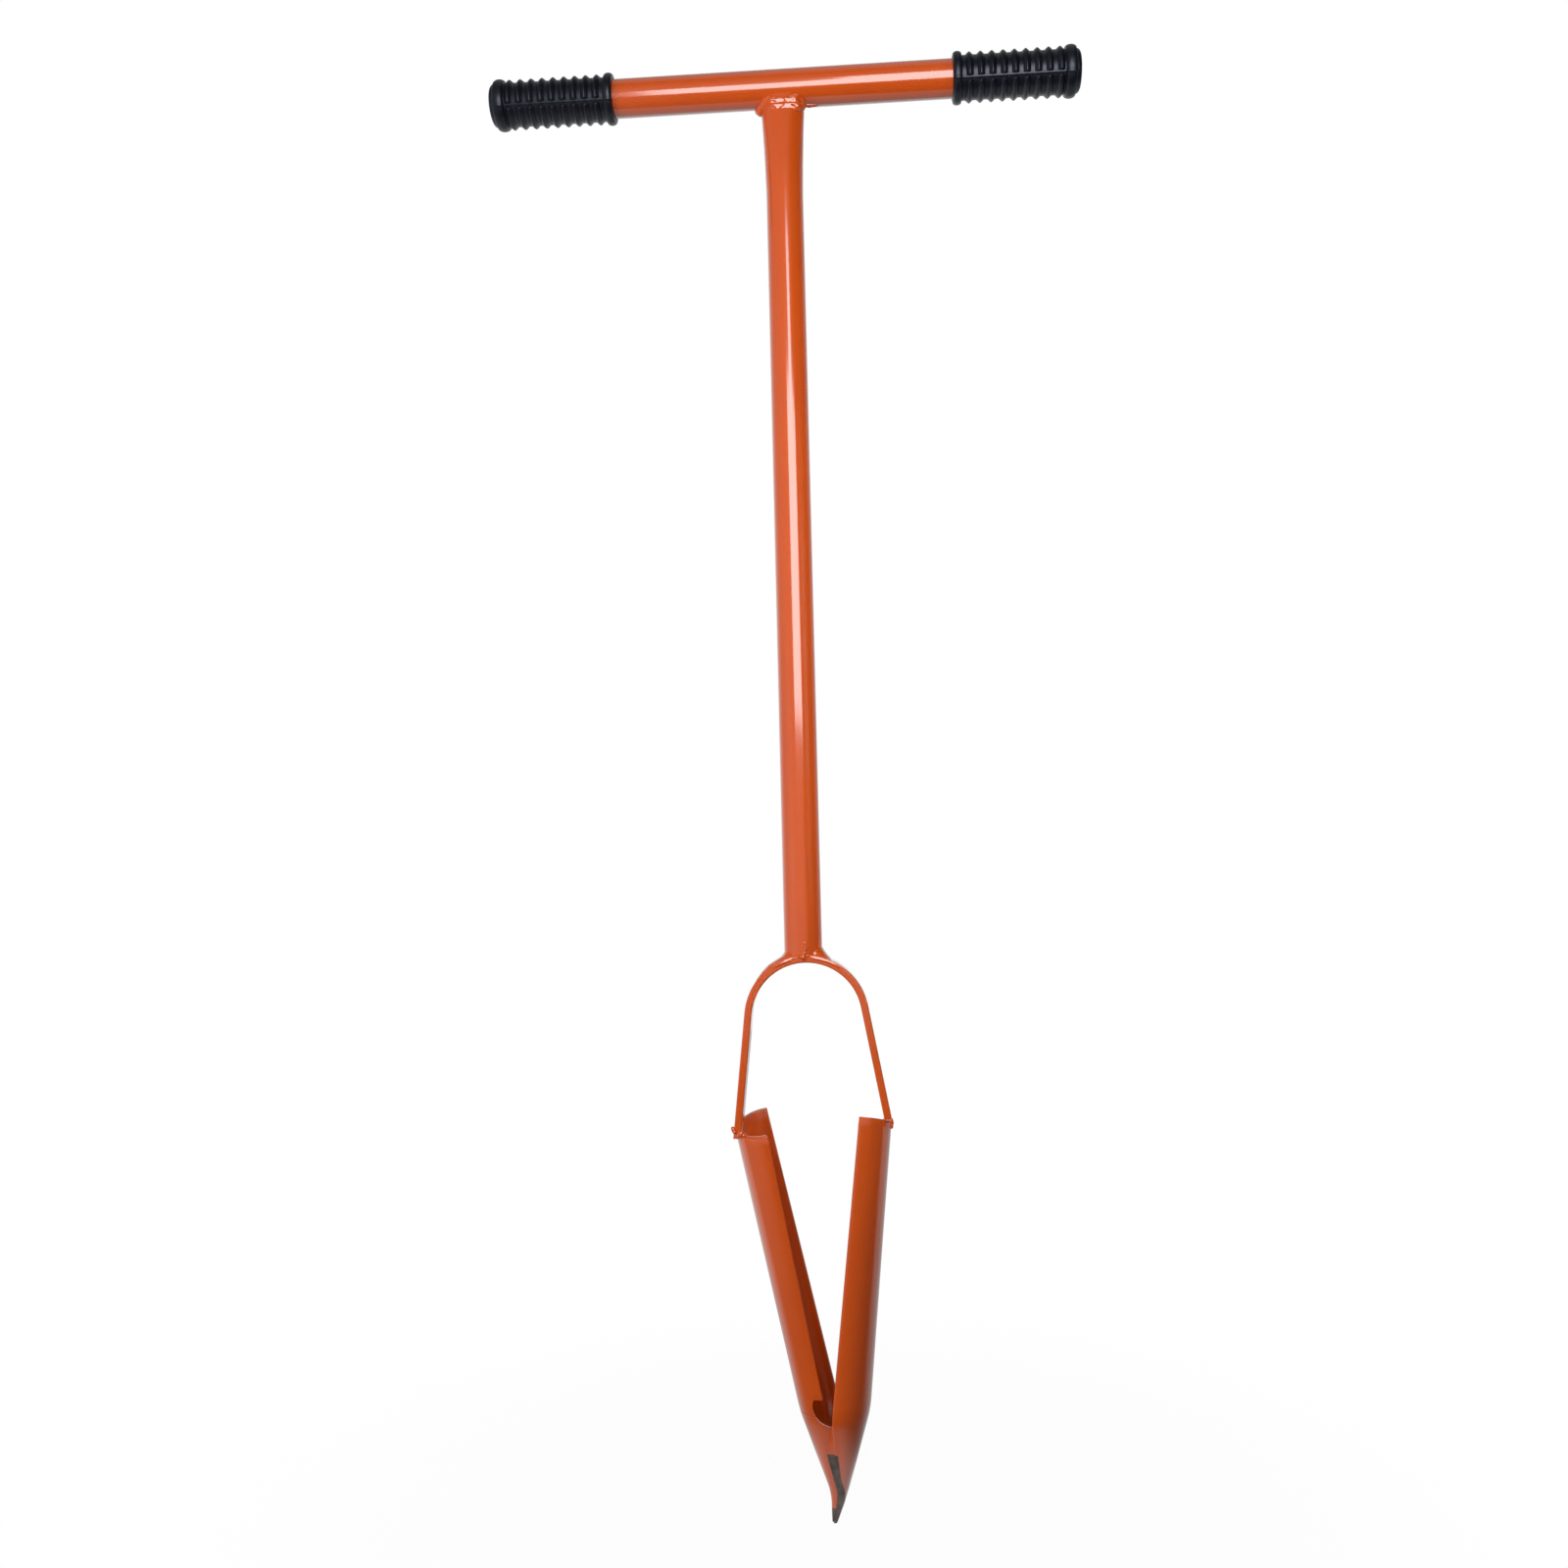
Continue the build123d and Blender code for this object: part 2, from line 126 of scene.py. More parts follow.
# Blades, leads and trails in degrees
POINT_LAP = 2.1 * MM
TIP_LAP = 0.95 * MM
TIP_RADIUS = 1.7 * MM
TIP_WALL = 1.5 * MM
HOOK_HEIGHT = 18.0 * MM
HOOK_RADIUS = 4.4 * MM
HOOK_WALL = 1.8 * MM
HOOK_OFFSET = 1.1 * MM
HOOK_DRIFT = 1.4 * MM
HOOK_LAP = 1.3 * MM
LEAD_RIM, LEAD_POINT, LEAD_HOOK, LEAD_TIP = 101.5, 110.5, 118.0, 124.0
TRAIL_RIM, TRAIL_POINT, TRAIL_LAP, TRAIL_TIP = 98.5, 86.0, 112.0, 70.0
FOLD_SINK = 3.0 * MM
FOLD_ROUND = 7.0 * MM
EDGE_ROUND = 0.2 * MM
RIM_EASE = ((EDGE_ROUND, 0.0), (0.3 * EDGE_ROUND, 0.3 * EDGE_ROUND), (0.0, EDGE_ROUND))
LEAD_ROUND = 0.95 * MM
TRAIL_ROUND = 0.15 * MM
TRAIL_SLANT = math.radians(2.6)
CORNER_CUT, WALL_PARTS = 0.3, 3
EDGE_POINTS = 4
ARC_STEPS, GROUND_STEPS = 56, 12
POINT_ROWS, UPPER_ROWS = 82, 30
NOTCH_ARC = mm((13.2, 8.5), (11.4, -4.5), (3.5, -9.5))
NOTCH_STEPS = 20
NOTCH_EASE, NOTCH_SEGMENTS, NOTCH_ANGLE = 0.35 * MM, 2, math.radians(52.0)
BLADE_SHARP = math.radians(48.0)
LIP_HEIGHT = 48.0 * MM
LIP_FADE = 30.0 * MM
LIP_REACHES = mm((17.0, 0.3), (48.0, 5.4), (56.0, 3.9), (64.0, 1.2), (73.0, 0.2))
LIP_ROUND = 3.0 * MM
LIP_ROOT_ANGLE = math.radians(6.0)
LIP_WAVE, LIP_WAVES = 0.5 * MM, 160.0
LIP_ROWS = 112
LIP_SHARP = math.radians(25.0)
GROUND_STRIP = mm((0.0, 9.0), (11.0, 6.6), (20.0, 4.7), (30.0, 2.7), (48.0, 1.9))
GROUND_EASE, GROUND_LIMIT = 1.0 * MM, 0.8
BARE_TIP = 10.0 * MM
EDGE_KEEN = 0.25 * MM
CORE_FOOT, CORE_TOP = 12.0 * MM, 30.0 * MM
CORE_BITE = 0.22
CORE_ROWS, CORE_COLUMNS = 12, 32

# Welds: runs as (points, radius, swing, seed) in millimetres, or as the arguments of their path and
# a bead (radius, swing, seed); the swing is how much the ripples' sizes vary
SHAFT_TOP_WIDTH, SHAFT_TOP_DEPTH = 32.0 * MM, 19.0 * MM
BOW_OUTER_RADIUS = 41.4 * MM
BAR_DEPTH = 25.0 * MM
SADDLE_GROW, SADDLE_LIFT, SADDLE_STEPS = -0.6 * MM, 0.2 * MM, 60
SADDLE_BEAD = (1.2 * MM, 0.12, 3)
HANDLE_RUNS = (
    (((-15.4, 0.0, -14.8), (-16.2, 1.6, -13.4), (-16.2, 3.0, -13.0)), 3.4, 0.08, 4),
    (((-14.4, -1.4, -13.2), (-11.8, -4.4, -11.6), (-8.4, -6.4, -10.4)), 3.2, 0.10, 5),
    (((14.4, 0.4, -12.2), (19.5, 0.6, -12.3), (23.6, 0.8, -12.1)), 1.8, 0.10, 6),
    (((-8.0, -6.6, -12.4), (-9.0, -5.6, -15.6)), 3.1, 0.07, 11),
    (((9.0, -7.0, -12.6), (13.0, -4.2, -13.2)), 3.1, 0.07, 12),
    (((10.0, -7.4, -17.2), (12.8, -4.8, -16.6)), 3.1, 0.07, 13),
    (((-10.0, 6.4, -11.4), (0.0, 8.0, -11.0), (10.0, 6.4, -11.4)), 3.1, 0.07, 14),
    (((-8.0, 7.2, -15.2), (2.0, 8.4, -15.6), (9.0, 7.0, -15.0)), 3.1, 0.07, 15),
)
LAYER_PROFILE = mm(
    (-21.0, 0.4), (-19.8, 1.6), (-16.5, 2.7), (-15.8, 1.4), (-12.7, 2.4), (-9.8, 0.0)
)
LAYER_SPAN = (-10.0 * MM, 12.0 * MM)
LAYER_FRONT, LAYER_CROWN, LAYER_ROOT = -8.2 * MM, 0.7 * MM, -5.0 * MM
LAYER_END = 2.5 * MM
LAYER_ROWS, LAYER_STEPS = 44, 24
LAYER_WAVE, LAYER_WAVES, LAYER_SEED = 0.45 * MM, 420.0, 5.3
LAYER_EASE = 0.3 * MM
CROWN_STEPS = 24
CROWN_RUNS = (
    ((235.0, 305.0), -0.5 * MM, -0.4 * MM, (1.1 * MM, 0.1, 21)),
    ((55.0, 125.0), -0.3 * MM, 0.0, (1.4 * MM, 0.2, 22)),
)
SHOULDER_ROWS = 28
SHOULDER_ROOT = 1.6 * MM
SHOULDER_SET_BACK = 1.6 * MM
SHOULDER_FALL, SHOULDER_POWER = 0.9, 6
LEFT_SHOULDER = (
    (12.0, 4.9), (16.0, 4.4), (18.0, 3.0), (21.0, 2.1), (25.0, 1.8), (34.0, 1.7), (42.0, 1.1),
    (50.0, 0.5), (58.0, -0.4),
)
RIGHT_SHOULDER = (
    (12.0, 7.0), (15.4, 6.6), (17.0, 5.2), (19.0, 3.8), (22.0, 2.2), (25.6, 0.9), (29.0, -0.4),
)
TOE_PROFILE = mm((38.2, 0.0), (39.2, 0.9), (41.3, 0.3))
TOE_SPANS = ((-31.0, -9.0), (5.0, 38.0))
TOE_SINK, TOE_ROOT, TOE_EASE = 0.25 * MM, 2.0 * MM, 0.3 * MM
TOE_ROWS, TOE_STEPS, TOE_END = 30, 10, 0.02
BOW_RUNS = (
    (((0.0, -12.0, -1.2), (0.5, -12.0, -1.6)), 2.3, 0.1, 41),
    (((1.2, -11.9, 1.6), (1.6, -11.8, 3.6)), 1.5, 0.1, 42),
    (((1.6, -12.2, 7.8), (1.6, -12.2, 8.6)), 1.1, 0.1, 43),
)
RIM_RUNS = (
    ((-0.46, 0.46), 20, -0.5 * MM, 0.2 * MM, (0.9 * MM, 0.15, 31)),
    ((-0.46, 0.46), 20, -4.6 * MM, 0.3 * MM, (1.1 * MM, 0.2, 32)),
)
RIM_END = ((0.45, 0.5), 2, -2.4 * MM, 0.0, (1.8 * MM, 0.1, 33))
LEFT_RIM_RUNS = (
    (((-4.2, 11.6, -1.2), (-4.6, 11.8, -1.8)), 2.3, 0.1, 51),
    (((-6.0, 11.8, -2.4), (-6.6, 11.7, -3.0)), 1.7, 0.1, 52),
    (((0.7, 11.8, 2.4), (-0.4, 12.2, 0.0), (-1.8, 12.2, -3.2)), 1.25, 0.1, 53),
)
RIGHT_RIM_RUNS = (
    (((-0.6, -11.6, 3.6), (-0.1, -11.8, 2.0), (-0.7, -11.8, -0.6)), 1.4, 0.1, 51),
    (((-3.4, -12.0, 3.6), (-1.6, -12.0, 3.4)), 0.8, 0.1, 52),
)
RIPPLE_PITCH, RIPPLE_SHIFT, RIPPLE_CUTS = 0.7, 0.12, 3
WELD_VOXEL = 0.35 * MM
WELD_FLOW, WELD_FLOW_STEPS = 0.5, 4

# Stage: spans of the surround's directions and of the floor's places, over which a level changes
SURROUND_SIDES, SURROUND_BACK = (0.25, 0.65), (0.1, 0.8)
SURROUND_RISE, SURROUND_TOP = (0.2, 0.85), (0.85, 1.0)
SURROUND_HIGH_SHARE = 0.25
FLOOR_BACK, FLOOR_LEFT, FLOOR_POINT = (-0.06, 0.1), (-0.5, -0.05), (-0.015, 0.035)
FLOOR_NEAR, FLOOR_FADE = (0.035, 0.095), (0.15, 0.55)
FLOOR_WHITE = 0.96
FLOOR_CORNERS, FLOOR_GAP = 96, 0.5 * MM
# Lights as (place, aim, size)
KEY_PANEL = ((0.17, -0.90, 0.85), (0.17, 0.0, 0.82), (0.78, 0.46))
KEY_STRIP = ((0.15, -0.90, 1.18), (0.15, 0.0, 1.15), (0.24, 0.21))
FILL_PANEL = ((-1.2, -0.8, 0.42), (0.0, 0.0, 0.42), (1.0, 0.8))
SIDE_PANEL = ((1.0, -0.6, 0.72), (0.0, 0.0, 0.58), (0.5, 0.5))
SIDE_SPREAD = math.radians(48.0)
CAMERA_PLACE = (0.05225, -0.9416, 0.4248)
CAMERA_RIGHT = (0.99742, 0.06773, -0.02381)
CAMERA_UP = (0.02787, -0.05976, 0.99782)
CAMERA_BACK = (0.06616, -0.99591, -0.06150)
CAMERA_SENSOR, CAMERA_NEAR = 36.0, 0.01


# Settings

def length(name, default, description):
    """A length in metres, given in millimetres."""
    return FloatProperty(
        name=name, description=description, default=default * MM, unit="LENGTH", precision=5
    )


def angle(name, default, description):
    """An angle in radians, given in degrees."""
    return FloatProperty(
        name=name, description=description, default=math.radians(default), unit="ROTATION"
    )


def colour(name, default, description):
    """A linear colour."""
    return FloatVectorProperty(
        name=name, description=description, default=default, size=3, subtype="COLOR", min=0, max=1
    )


def amount(name, default, description, unit="NONE"):
    """A plain number, or a power or focal length in its own unit."""
    return FloatProperty(name=name, description=description, default=default, unit=unit)


class AugerHandleSettings(PropertyGroup):
    """Sizes of the handle, shaft and grips."""

    handle_height: length("Handle height", 967.0, "Height of the handle's axis above the tips")
    handle_span: length("Handle span", 409.5, "Length of the handle over its grips")
    tube_diameter: length("Tube", 25.4, "Diameter of the handle and shaft tubes")
    grip_span: length("Grip", 87.2, "Length of a grip")
    grip_root: length("Grip root", 28.4, "Diameter of a grip between its ribs")
    grip_rib: length("Grip rib", 32.4, "Diameter over a grip's ribs")
    grip_collar: length("Grip collar", 33.8, "Diameter of a grip's collar and end flange")
    grip_rib_pitch: length("Rib pitch", 7.7, "Distance from rib to rib")
    grip_rib_width: length("Rib width", 5.2, "Width of a rib at its root")
    grip_first_rib: length("First rib", 11.4, "Distance of the first rib from the grip's mouth")
    grip_rib_count: IntProperty(name="Ribs", description="Ribs on each grip", default=9, min=1)
    grip_strip: angle("Mould strip", 4.4, "Half angle of the plain strip along a grip's seam")


class AugerHeadSettings(PropertyGroup):
    """Sizes of the bow and blades."""

    head_span: length("Head", 368.5, "Length from the bow's crown to the blade tips")
    head_lean: angle("Head lean", 2.0, "Lean of the head to the right")
    head_turn: angle("Head turn", 1.8, "Turn of the head about its axis")
    pair_lean: angle("Blade pair lean", 1.0, "Lean of the pair of blades in the bow")
    rim_height: length("Rim height", 256.6, "Height of the blades' rims above the tips")
    rim_slant: angle("Rim slant", 19.0, "Slant of a blade's rim, leading side up")
    blade_lean: angle("Blade lean", 8.9, "Lean of each blade from the head's axis")
    pipe_diameter: length("Pipe", 38.1, "Diameter of the pipe that the blades are cut from")
    pipe_wall: length("Pipe wall", 3.0, "Wall of the pipe")
    point_height: length("Point height", 75.0, "Height of the fold above the tips")
    point_offset: length("Point offset", 4.7, "Distance of a blade's centre from the axis there")
    tip_drift: length("Tip drift", 5.8, "Drift of the tips to the left")
    right_rim_drop: length("Right rim drop", 2.9, "How much lower the right blade's rim is")
    right_rim_slant: angle("Right rim slant", 15.5, "Slant of the right blade's rim")


class AugerFinishSettings(PropertyGroup):
    """Colours of the finishes."""

    paint: colour("Paint", (0.570, 0.076, 0.0040), "Orange enamel")
    paint_deep: colour("Deep paint", (0.515, 0.063, 0.0034), "Enamel where it lies thick")
    rubber: colour("Rubber", (0.0028, 0.0034, 0.0064), "Black rubber of the grips")
    rubber_dust: colour("Rubber bloom", (0.0065, 0.0075, 0.0125), "Pale bloom on the rubber")
    steel: colour("Ground steel", (0.150, 0.120, 0.105), "Bare steel of the ground lips")
    steel_stain: colour("Steel stain", (0.060, 0.045, 0.040), "Brown stain on the ground steel")


class AugerStageSettings(PropertyGroup):
    """Floor, lights and camera; levels of the floor are those in the paint's reflections."""

    floor_colour: colour("Floor", (0.80, 0.80, 0.80), "Pale studio floor")
    floor_bounce: amount("Floor bounce", 0.04, "Share of its colour in the light it throws back")
    floor_radius: length("Floor radius", 2600.0, "Radius of the floor")
    key_power: amount("Key light", 6.0, "Softbox above the camera", "POWER")
    strip_power: amount("Strip light", 0.84, "Strip above it, seen in reflections alone", "POWER")
    fill_power: amount("Fill light", 15.2, "Broad soft light at the left", "POWER")
    side_power: amount("Side light", 0.76, "Narrow soft light at the right", "POWER")
    left_level: amount("Left surround", 0.52, "Level of the surround at the left and in front")
    right_level: amount("Right surround", 0.06, "Level of the surround at the right")
    back_level: amount("Back surround", 0.55, "Level added behind the object")
    top_level: amount("Top surround", 0.35, "Level added above the object")
    front_floor: amount("Front floor", 0.07, "Level of the floor before the object")
    left_floor: amount("Left floor", 0.30, "Level of the floor at the front left")
    back_floor: amount("Back floor", 0.45, "Level added to the floor behind the object")
    near_floor: amount("Near floor", 0.45, "Level added to the floor by the point, at its left")
    right_floor: amount("Right floor", 0.85, "Level added to the floor by the point, at its right")
    lens: amount("Lens", 32.175, "Focal length in millimetres", "CAMERA")


SETTINGS = (
    ("auger_handle", AugerHandleSettings),
    ("auger_head", AugerHeadSettings),
    ("auger_finish", AugerFinishSettings),
    ("auger_stage", AugerStageSettings),
)


# Nodes

def feed(tree, socket, value):
    """Link an output to an input, or set the input to a plain value."""
    if isinstance(value, NodeSocket):
        tree.links.new(value, socket)
    else:
        socket.default_value = value


def add_node(tree, kind, inputs=None, **settings):
    """A node with its settings, and with inputs fed by their names or numbers."""
    node = tree.nodes.new(kind)
    for name, value in settings.items():
        setattr(node, name, value)
    for key, value in (inputs or {}).items():
        feed(tree, node.inputs[key], value)
    return node


def ramp(tree, source, span, levels, kind="SMOOTHSTEP"):
    """Ramp from the first to the last level while a value goes over its span."""
    node = add_node(tree, "ShaderNodeMapRange", {
        "Value": source, "From Min": span[0], "From Max": span[1],
        "To Min": levels[0], "To Max": levels[1],
    }, interpolation_type=kind)
    return node.outputs["Result"]


def combine(tree, operation, first, second):
    """Sum or product of two values."""
    return add_node(tree, "ShaderNodeMath", {0: first, 1: second}, operation=operation).outputs[0]


def open_group(name, kind, inputs, outputs):
    """New node group with its named sockets, and the sockets that it gives and takes inside."""
    tree = bpy.data.node_groups.new(name, kind)
    for way, sockets in (("INPUT", inputs), ("OUTPUT", outputs)):
        for label, sort in sockets.items():
            tree.interface.new_socket(label, in_out=way, socket_type="NodeSocket" + sort)
    start, end = tree.nodes.new("NodeGroupInput"), tree.nodes.new("NodeGroupOutput")
    return tree, start.outputs, end.inputs


def emptied_tree(block):
    """Node tree of a material or world, without nodes."""
    block.use_nodes = True
    block.node_tree.nodes.clear()
    return block.node_tree


# Finishes

def mottle_group():
    """Group that mixes two colours in soft clouds."""
    name = "Soft mottle"
    if name in bpy.data.node_groups:
        return bpy.data.node_groups[name]
    tree, given, result = open_group(name, "ShaderNodeTree", {
        "Colour": "Color", "Other colour": "Color", "Scale": "Float", "Amount": "Float",
    }, {"Colour": "Color"})
    spot = add_node(tree, "ShaderNodeTexCoord").outputs["Object"]
    cloud = add_node(tree, "ShaderNodeTexNoise", {
        "Vector": spot, "Scale": given["Scale"], **CLOUD_NOISE,
    })
    patches = ramp(tree, cloud.outputs["Fac"], CLOUD_SPAN, (0.0, 1.0), "LINEAR")
    mask = combine(tree, "MULTIPLY", patches, given["Amount"])
    mix = add_node(tree, "ShaderNodeMix", {
        "Factor": mask, "A": given["Colour"], "B": given["Other colour"],
    }, data_type="RGBA")
    feed(tree, result["Colour"], mix.outputs["Result"])
    return tree


def grain_group():
    """Group that puts out a fine grain height and a roughness that drifts over the surface."""
    name = "Fine grain"
    if name in bpy.data.node_groups:
        return bpy.data.node_groups[name]
    tree, given, result = open_group(name, "ShaderNodeTree", {
        "Scale": "Float", "Stretch": "Float", "Smooth": "Float", "Rough": "Float",
    }, {"Height": "Float", "Roughness": "Float"})
    spot = add_node(tree, "ShaderNodeTexCoord").outputs["Object"]
    axes = add_node(tree, "ShaderNodeCombineXYZ", {"X": 1.0, "Y": 1.0, "Z": given["Stretch"]})
    place = add_node(tree, "ShaderNodeMapping", {"Vector": spot, "Scale": axes.outputs["Vector"]})
    grain = add_node(tree, "ShaderNodeTexNoise", {
        "Vector": place.outputs["Vector"], "Scale": given["Scale"], **GRAIN_NOISE,
    })
    broad = add_node(tree, "ShaderNodeTexNoise", {"Vector": spot, **POLISH_NOISE})
    levels = (given["Smooth"], given["Rough"])
    feed(tree, result["Height"], grain.outputs["Fac"])
    feed(tree, result["Roughness"], ramp(tree, broad.outputs["Fac"], POLISH_SPAN, levels, "LINEAR"))
    return tree


def finish_material(finish):
    """Material of a finish: mottled colour, drifting roughness and a fine relief."""
    name, colours, (scale, share), grain, (strength, height), plain = finish
    if name in bpy.data.materials:
        return bpy.data.materials[name]
    settings = bpy.context.scene.auger_finish
    first, second = ((*getattr(settings, key), 1.0) for key in colours)
    material = bpy.data.materials.new(name)
    tree = emptied_tree(material)
    clouds = add_node(tree, "ShaderNodeGroup", {
        "Colour": first, "Other colour": second, "Scale": scale, "Amount": share,
    }, node_tree=mottle_group())
    values = dict(zip(("Scale", "Stretch", "Smooth", "Rough"), grain))
    fine = add_node(tree, "ShaderNodeGroup", values, node_tree=grain_group())
    relief = add_node(tree, "ShaderNodeBump", {
        "Height": fine.outputs["Height"], "Strength": strength, "Distance": height,
    })
    shader = add_node(tree, "ShaderNodeBsdfPrincipled", {
        "Base Color": clouds.outputs["Colour"], "Roughness": fine.outputs["Roughness"],
        "Normal": relief.outputs["Normal"], **plain,
    })
    add_node(tree, "ShaderNodeOutputMaterial", {"Surface": shader.outputs["BSDF"]})
    return material


# Meshes and objects

def add_object(name, data):
    """New object at the origin of the scene."""
    item = bpy.data.objects.new(name, data)
    bpy.context.scene.collection.objects.link(item)
    return item


def bridge(shape, rows, bare=None):
    """Rings of vertices at rows of points, with faces between them.

    Faces for which bare(height of the upper ring, column) holds get the second material.
    """
    rings = [[shape.verts.new(spot) for spot in row] for row in rows]
    for low, high in zip(rings, rings[1:]):
        for here in range(len(low)):
            there = (here + 1) % len(low)
            face = shape.faces.new((low[here], low[there], high[there], high[here]))
            if bare and bare(high[0].co.z, here):
                face.material_index = 1
    return rings


def ring_solid(shape, rows, bare=None):
    """Add a closed solid through rows of points, with flat ends."""
    rings = bridge(shape, rows, bare)
    shape.faces.new(rings[0])
    shape.faces.new(rings[-1])


def mesh_of(shape, name):
    """Mesh of a shape with its faces turned outwards; the shape is freed."""
    bmesh.ops.recalc_face_normals(shape, faces=shape.faces)
    mesh = bpy.data.meshes.new(name)
    shape.to_mesh(mesh)
    shape.free()
    return mesh


def solid_mesh(name, rows, bare=None):
    """Mesh of one closed solid through rows of points."""
    shape = bmesh.new()
    ring_solid(shape, rows, bare)
    return mesh_of(shape, name)


def plain_mesh(carrier):
    """Mesh of an object with its modifiers applied; the object is taken away."""
    graph = bpy.context.evaluated_depsgraph_get()
    graph.update()
    result = bpy.data.meshes.new_from_object(carrier.evaluated_get(graph))
    carrier.modifiers.clear()
    bpy.data.objects.remove(carrier)
    return result


def run_tree(mesh, tree, values):
    """Plain mesh that a geometry node tree makes of a mesh, with its named inputs set."""
    carrier = add_object(mesh.name + "_carrier", mesh)
    modifier = carrier.modifiers.new("nodes", "NODES")
    modifier.node_group = tree
    for item in tree.interface.items_tree:
        if item.item_type == "SOCKET" and item.in_out == "INPUT" and item.name in values:
            modifier[item.identifier] = values[item.name]
    return plain_mesh(carrier)


def end_tree(tree, source, material, result):
    """Make instances real, give them their material and put them out."""
    real = add_node(tree, "GeometryNodeRealizeInstances", {"Geometry": source})
    finish = add_node(tree, "GeometryNodeSetMaterial", {
        "Geometry": real.outputs["Geometry"], "Material": material,
    })
    feed(tree, result["Geometry"], finish.outputs["Geometry"])


def finish_piece(name, mesh, finishes, nodes=(), sharp=None):
    """Put a finished mesh in the scene as a piece of the auger, with edges over an angle sharp."""
    mesh.shade_smooth()
    if sharp is not None:
        mesh.set_sharp_from_angle(angle=sharp)
    piece = add_object(name, mesh)
    for index, finish in enumerate(finishes):
        if index < len(mesh.materials):
            mesh.materials[index] = finish_material(finish)
        else:
            mesh.materials.append(finish_material(finish))
    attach(piece, BODY)
    if nodes:
        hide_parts(*nodes)


def head_matrix():
    """Place of the head under the shaft."""
    head = bpy.context.scene.auger_head
    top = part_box("bow_bar")[1].z
    lean = Matrix.Rotation(-head.head_lean, 4, "Y")
    turn = Matrix.Rotation(head.head_turn, 4, "Z")
    return Matrix.Translation((0, 0, top)) @ lean @ turn


def spread(start, end, count):
    """Values in even steps from a start to an end, both included."""
    return [start + (end - start) * step / count for step in range(count + 1)]


# Grips

def ring_point(x, radius, turn):
    """Point of a grip at a place along the handle, a radius and a turn down from the front."""
    height = bpy.context.scene.auger_handle.handle_height
    return Vector((x, -radius * math.cos(turn), height - radius * math.sin(turn)))


def arc_profile(start, end, root, crest, steps):
    """Rounded ring in (distance, radius) from its start to its end, both on the root."""
    points = []
    for share in spread(0, 1, steps):
        swell = math.sqrt(max(0.0, 1 - (2 * share - 1) ** 2))
        points.append((start + share * (end - start), root + (crest - root) * swell ** SWELL_POWER))
    return points


def rib_profile():
    """Pointed ridge in (distance, height) over a unit width, with a soft crest."""
    points = []
    for off in spread(-1, 1, RIB_COLUMNS):
        crest = 1 - math.sqrt(off * off + RIB_SOFT ** 2) + RIB_SOFT * (1 - abs(off))
        points.append((off / 2, crest))
    low = points[0][1]
    return [(spot, (height - low) / (1 - low)) for spot, height in points]


def sleeve_profile():
    """Outline of a grip without its ribs, from the bore's closed end round to the end's middle."""
    size = bpy.context.scene.auger_handle
    root, crest = size.grip_root / 2, size.grip_collar / 2
    bore = size.tube_diameter / 2 + BORE_GAP
    shoulder = size.grip_span - END_DOME
    points = [(size.grip_span - END_WALL, bore), (MOUTH_ROUND, bore), (0.0, bore + MOUTH_ROUND)]
    points += arc_profile(0.0, COLLAR_WIDTH, root, crest, COLLAR_STEPS)
    points += arc_profile(shoulder - FLANGE_WIDTH, shoulder, root, crest, FLANGE_STEPS)
    for bend in spread(0, math.radians(90), DOME_STEPS)[1:]:
        radius = END_FLAT_RADIUS + (root - END_FLAT_RADIUS) * math.cos(bend)
        points.append((shoulder + END_DOME * math.sin(bend), radius))
    return points


def seam_turns():
    """Turns of the sleeve's columns, with more of them at the two mould seams."""
    full = 2 * math.pi
    turns = {round(turn, 6) for turn in spread(0, full, SLEEVE_COLUMNS)[:-1]}
    for seam in (0.0, math.pi):
        for side in (-2, -1, 1, 2):
            turns.add(round((seam + side * SEAM_HALF_TURN / 2) % full, 6))
    return sorted(turns)


def grip_sleeve(side):
    """Mesh of a grip's plain sleeve with its two mould seams."""
    size = bpy.context.scene.auger_handle
    mouth = size.handle_span / 2 - size.grip_span
    rows = []
    for index, (along, radius) in enumerate(sleeve_profile()):
        row = []
        for turn in seam_turns():
            off = abs((turn + math.pi / 2) % math.pi - math.pi / 2)
            raised = SEAM_RISE * max(0.0, 1 - off / SEAM_HALF_TURN) if index >= BORE_POINTS else 0.0
            row.append(ring_point(side * (mouth + along), radius + raised, turn + SEAM_TURN))
        rows.append(row)
    shape = bmesh.new()
    rings = bridge(shape, rows)
    for ring, along in ((rings[0], size.grip_span - END_WALL), (rings[-1], size.grip_span)):
        hub = shape.verts.new(ring_point(side * (mouth + along), 0.0, 0.0))
        for here, there in zip(ring, ring[1:] + ring[:1]):
            shape.faces.new((here, there, hub))
    return mesh_of(shape, "sleeve")


def grip_rib():
    """Mesh of one rib at the handle's middle: two half rings that run out beside the seams."""
    size = bpy.context.scene.auger_handle
    root, crest = size.grip_root / 2, size.grip_rib / 2
    shape = bmesh.new()
    for seam in (0.0, math.pi):
        start, end = seam + size.grip_strip, seam + math.pi - size.grip_strip
        rows = []
        for bend in spread(0, math.pi, RIB_STEPS):
            turn = start + (end - start) * (1 - math.cos(bend)) / 2
            fade = min(turn - start, end - turn) / RIB_END_TURN + RIB_END_LEAST
            fade = math.sqrt(1 - (1 - min(1.0, fade)) ** 2)
            width = size.grip_rib_width * (RIB_END_WIDTH + (1 - RIB_END_WIDTH) * fade)
            spots = [(spot, root + (crest - root) * rise * fade) for spot, rise in rib_profile()]
            spots += [(0.5, root - RIB_SINK), (-0.5, root - RIB_SINK)]
            rows.append([
                ring_point(spot * width, radius, turn + SEAM_TURN) for spot, radius in spots
            ])
        ring_solid(shape, rows)
    return mesh_of(shape, "rib")


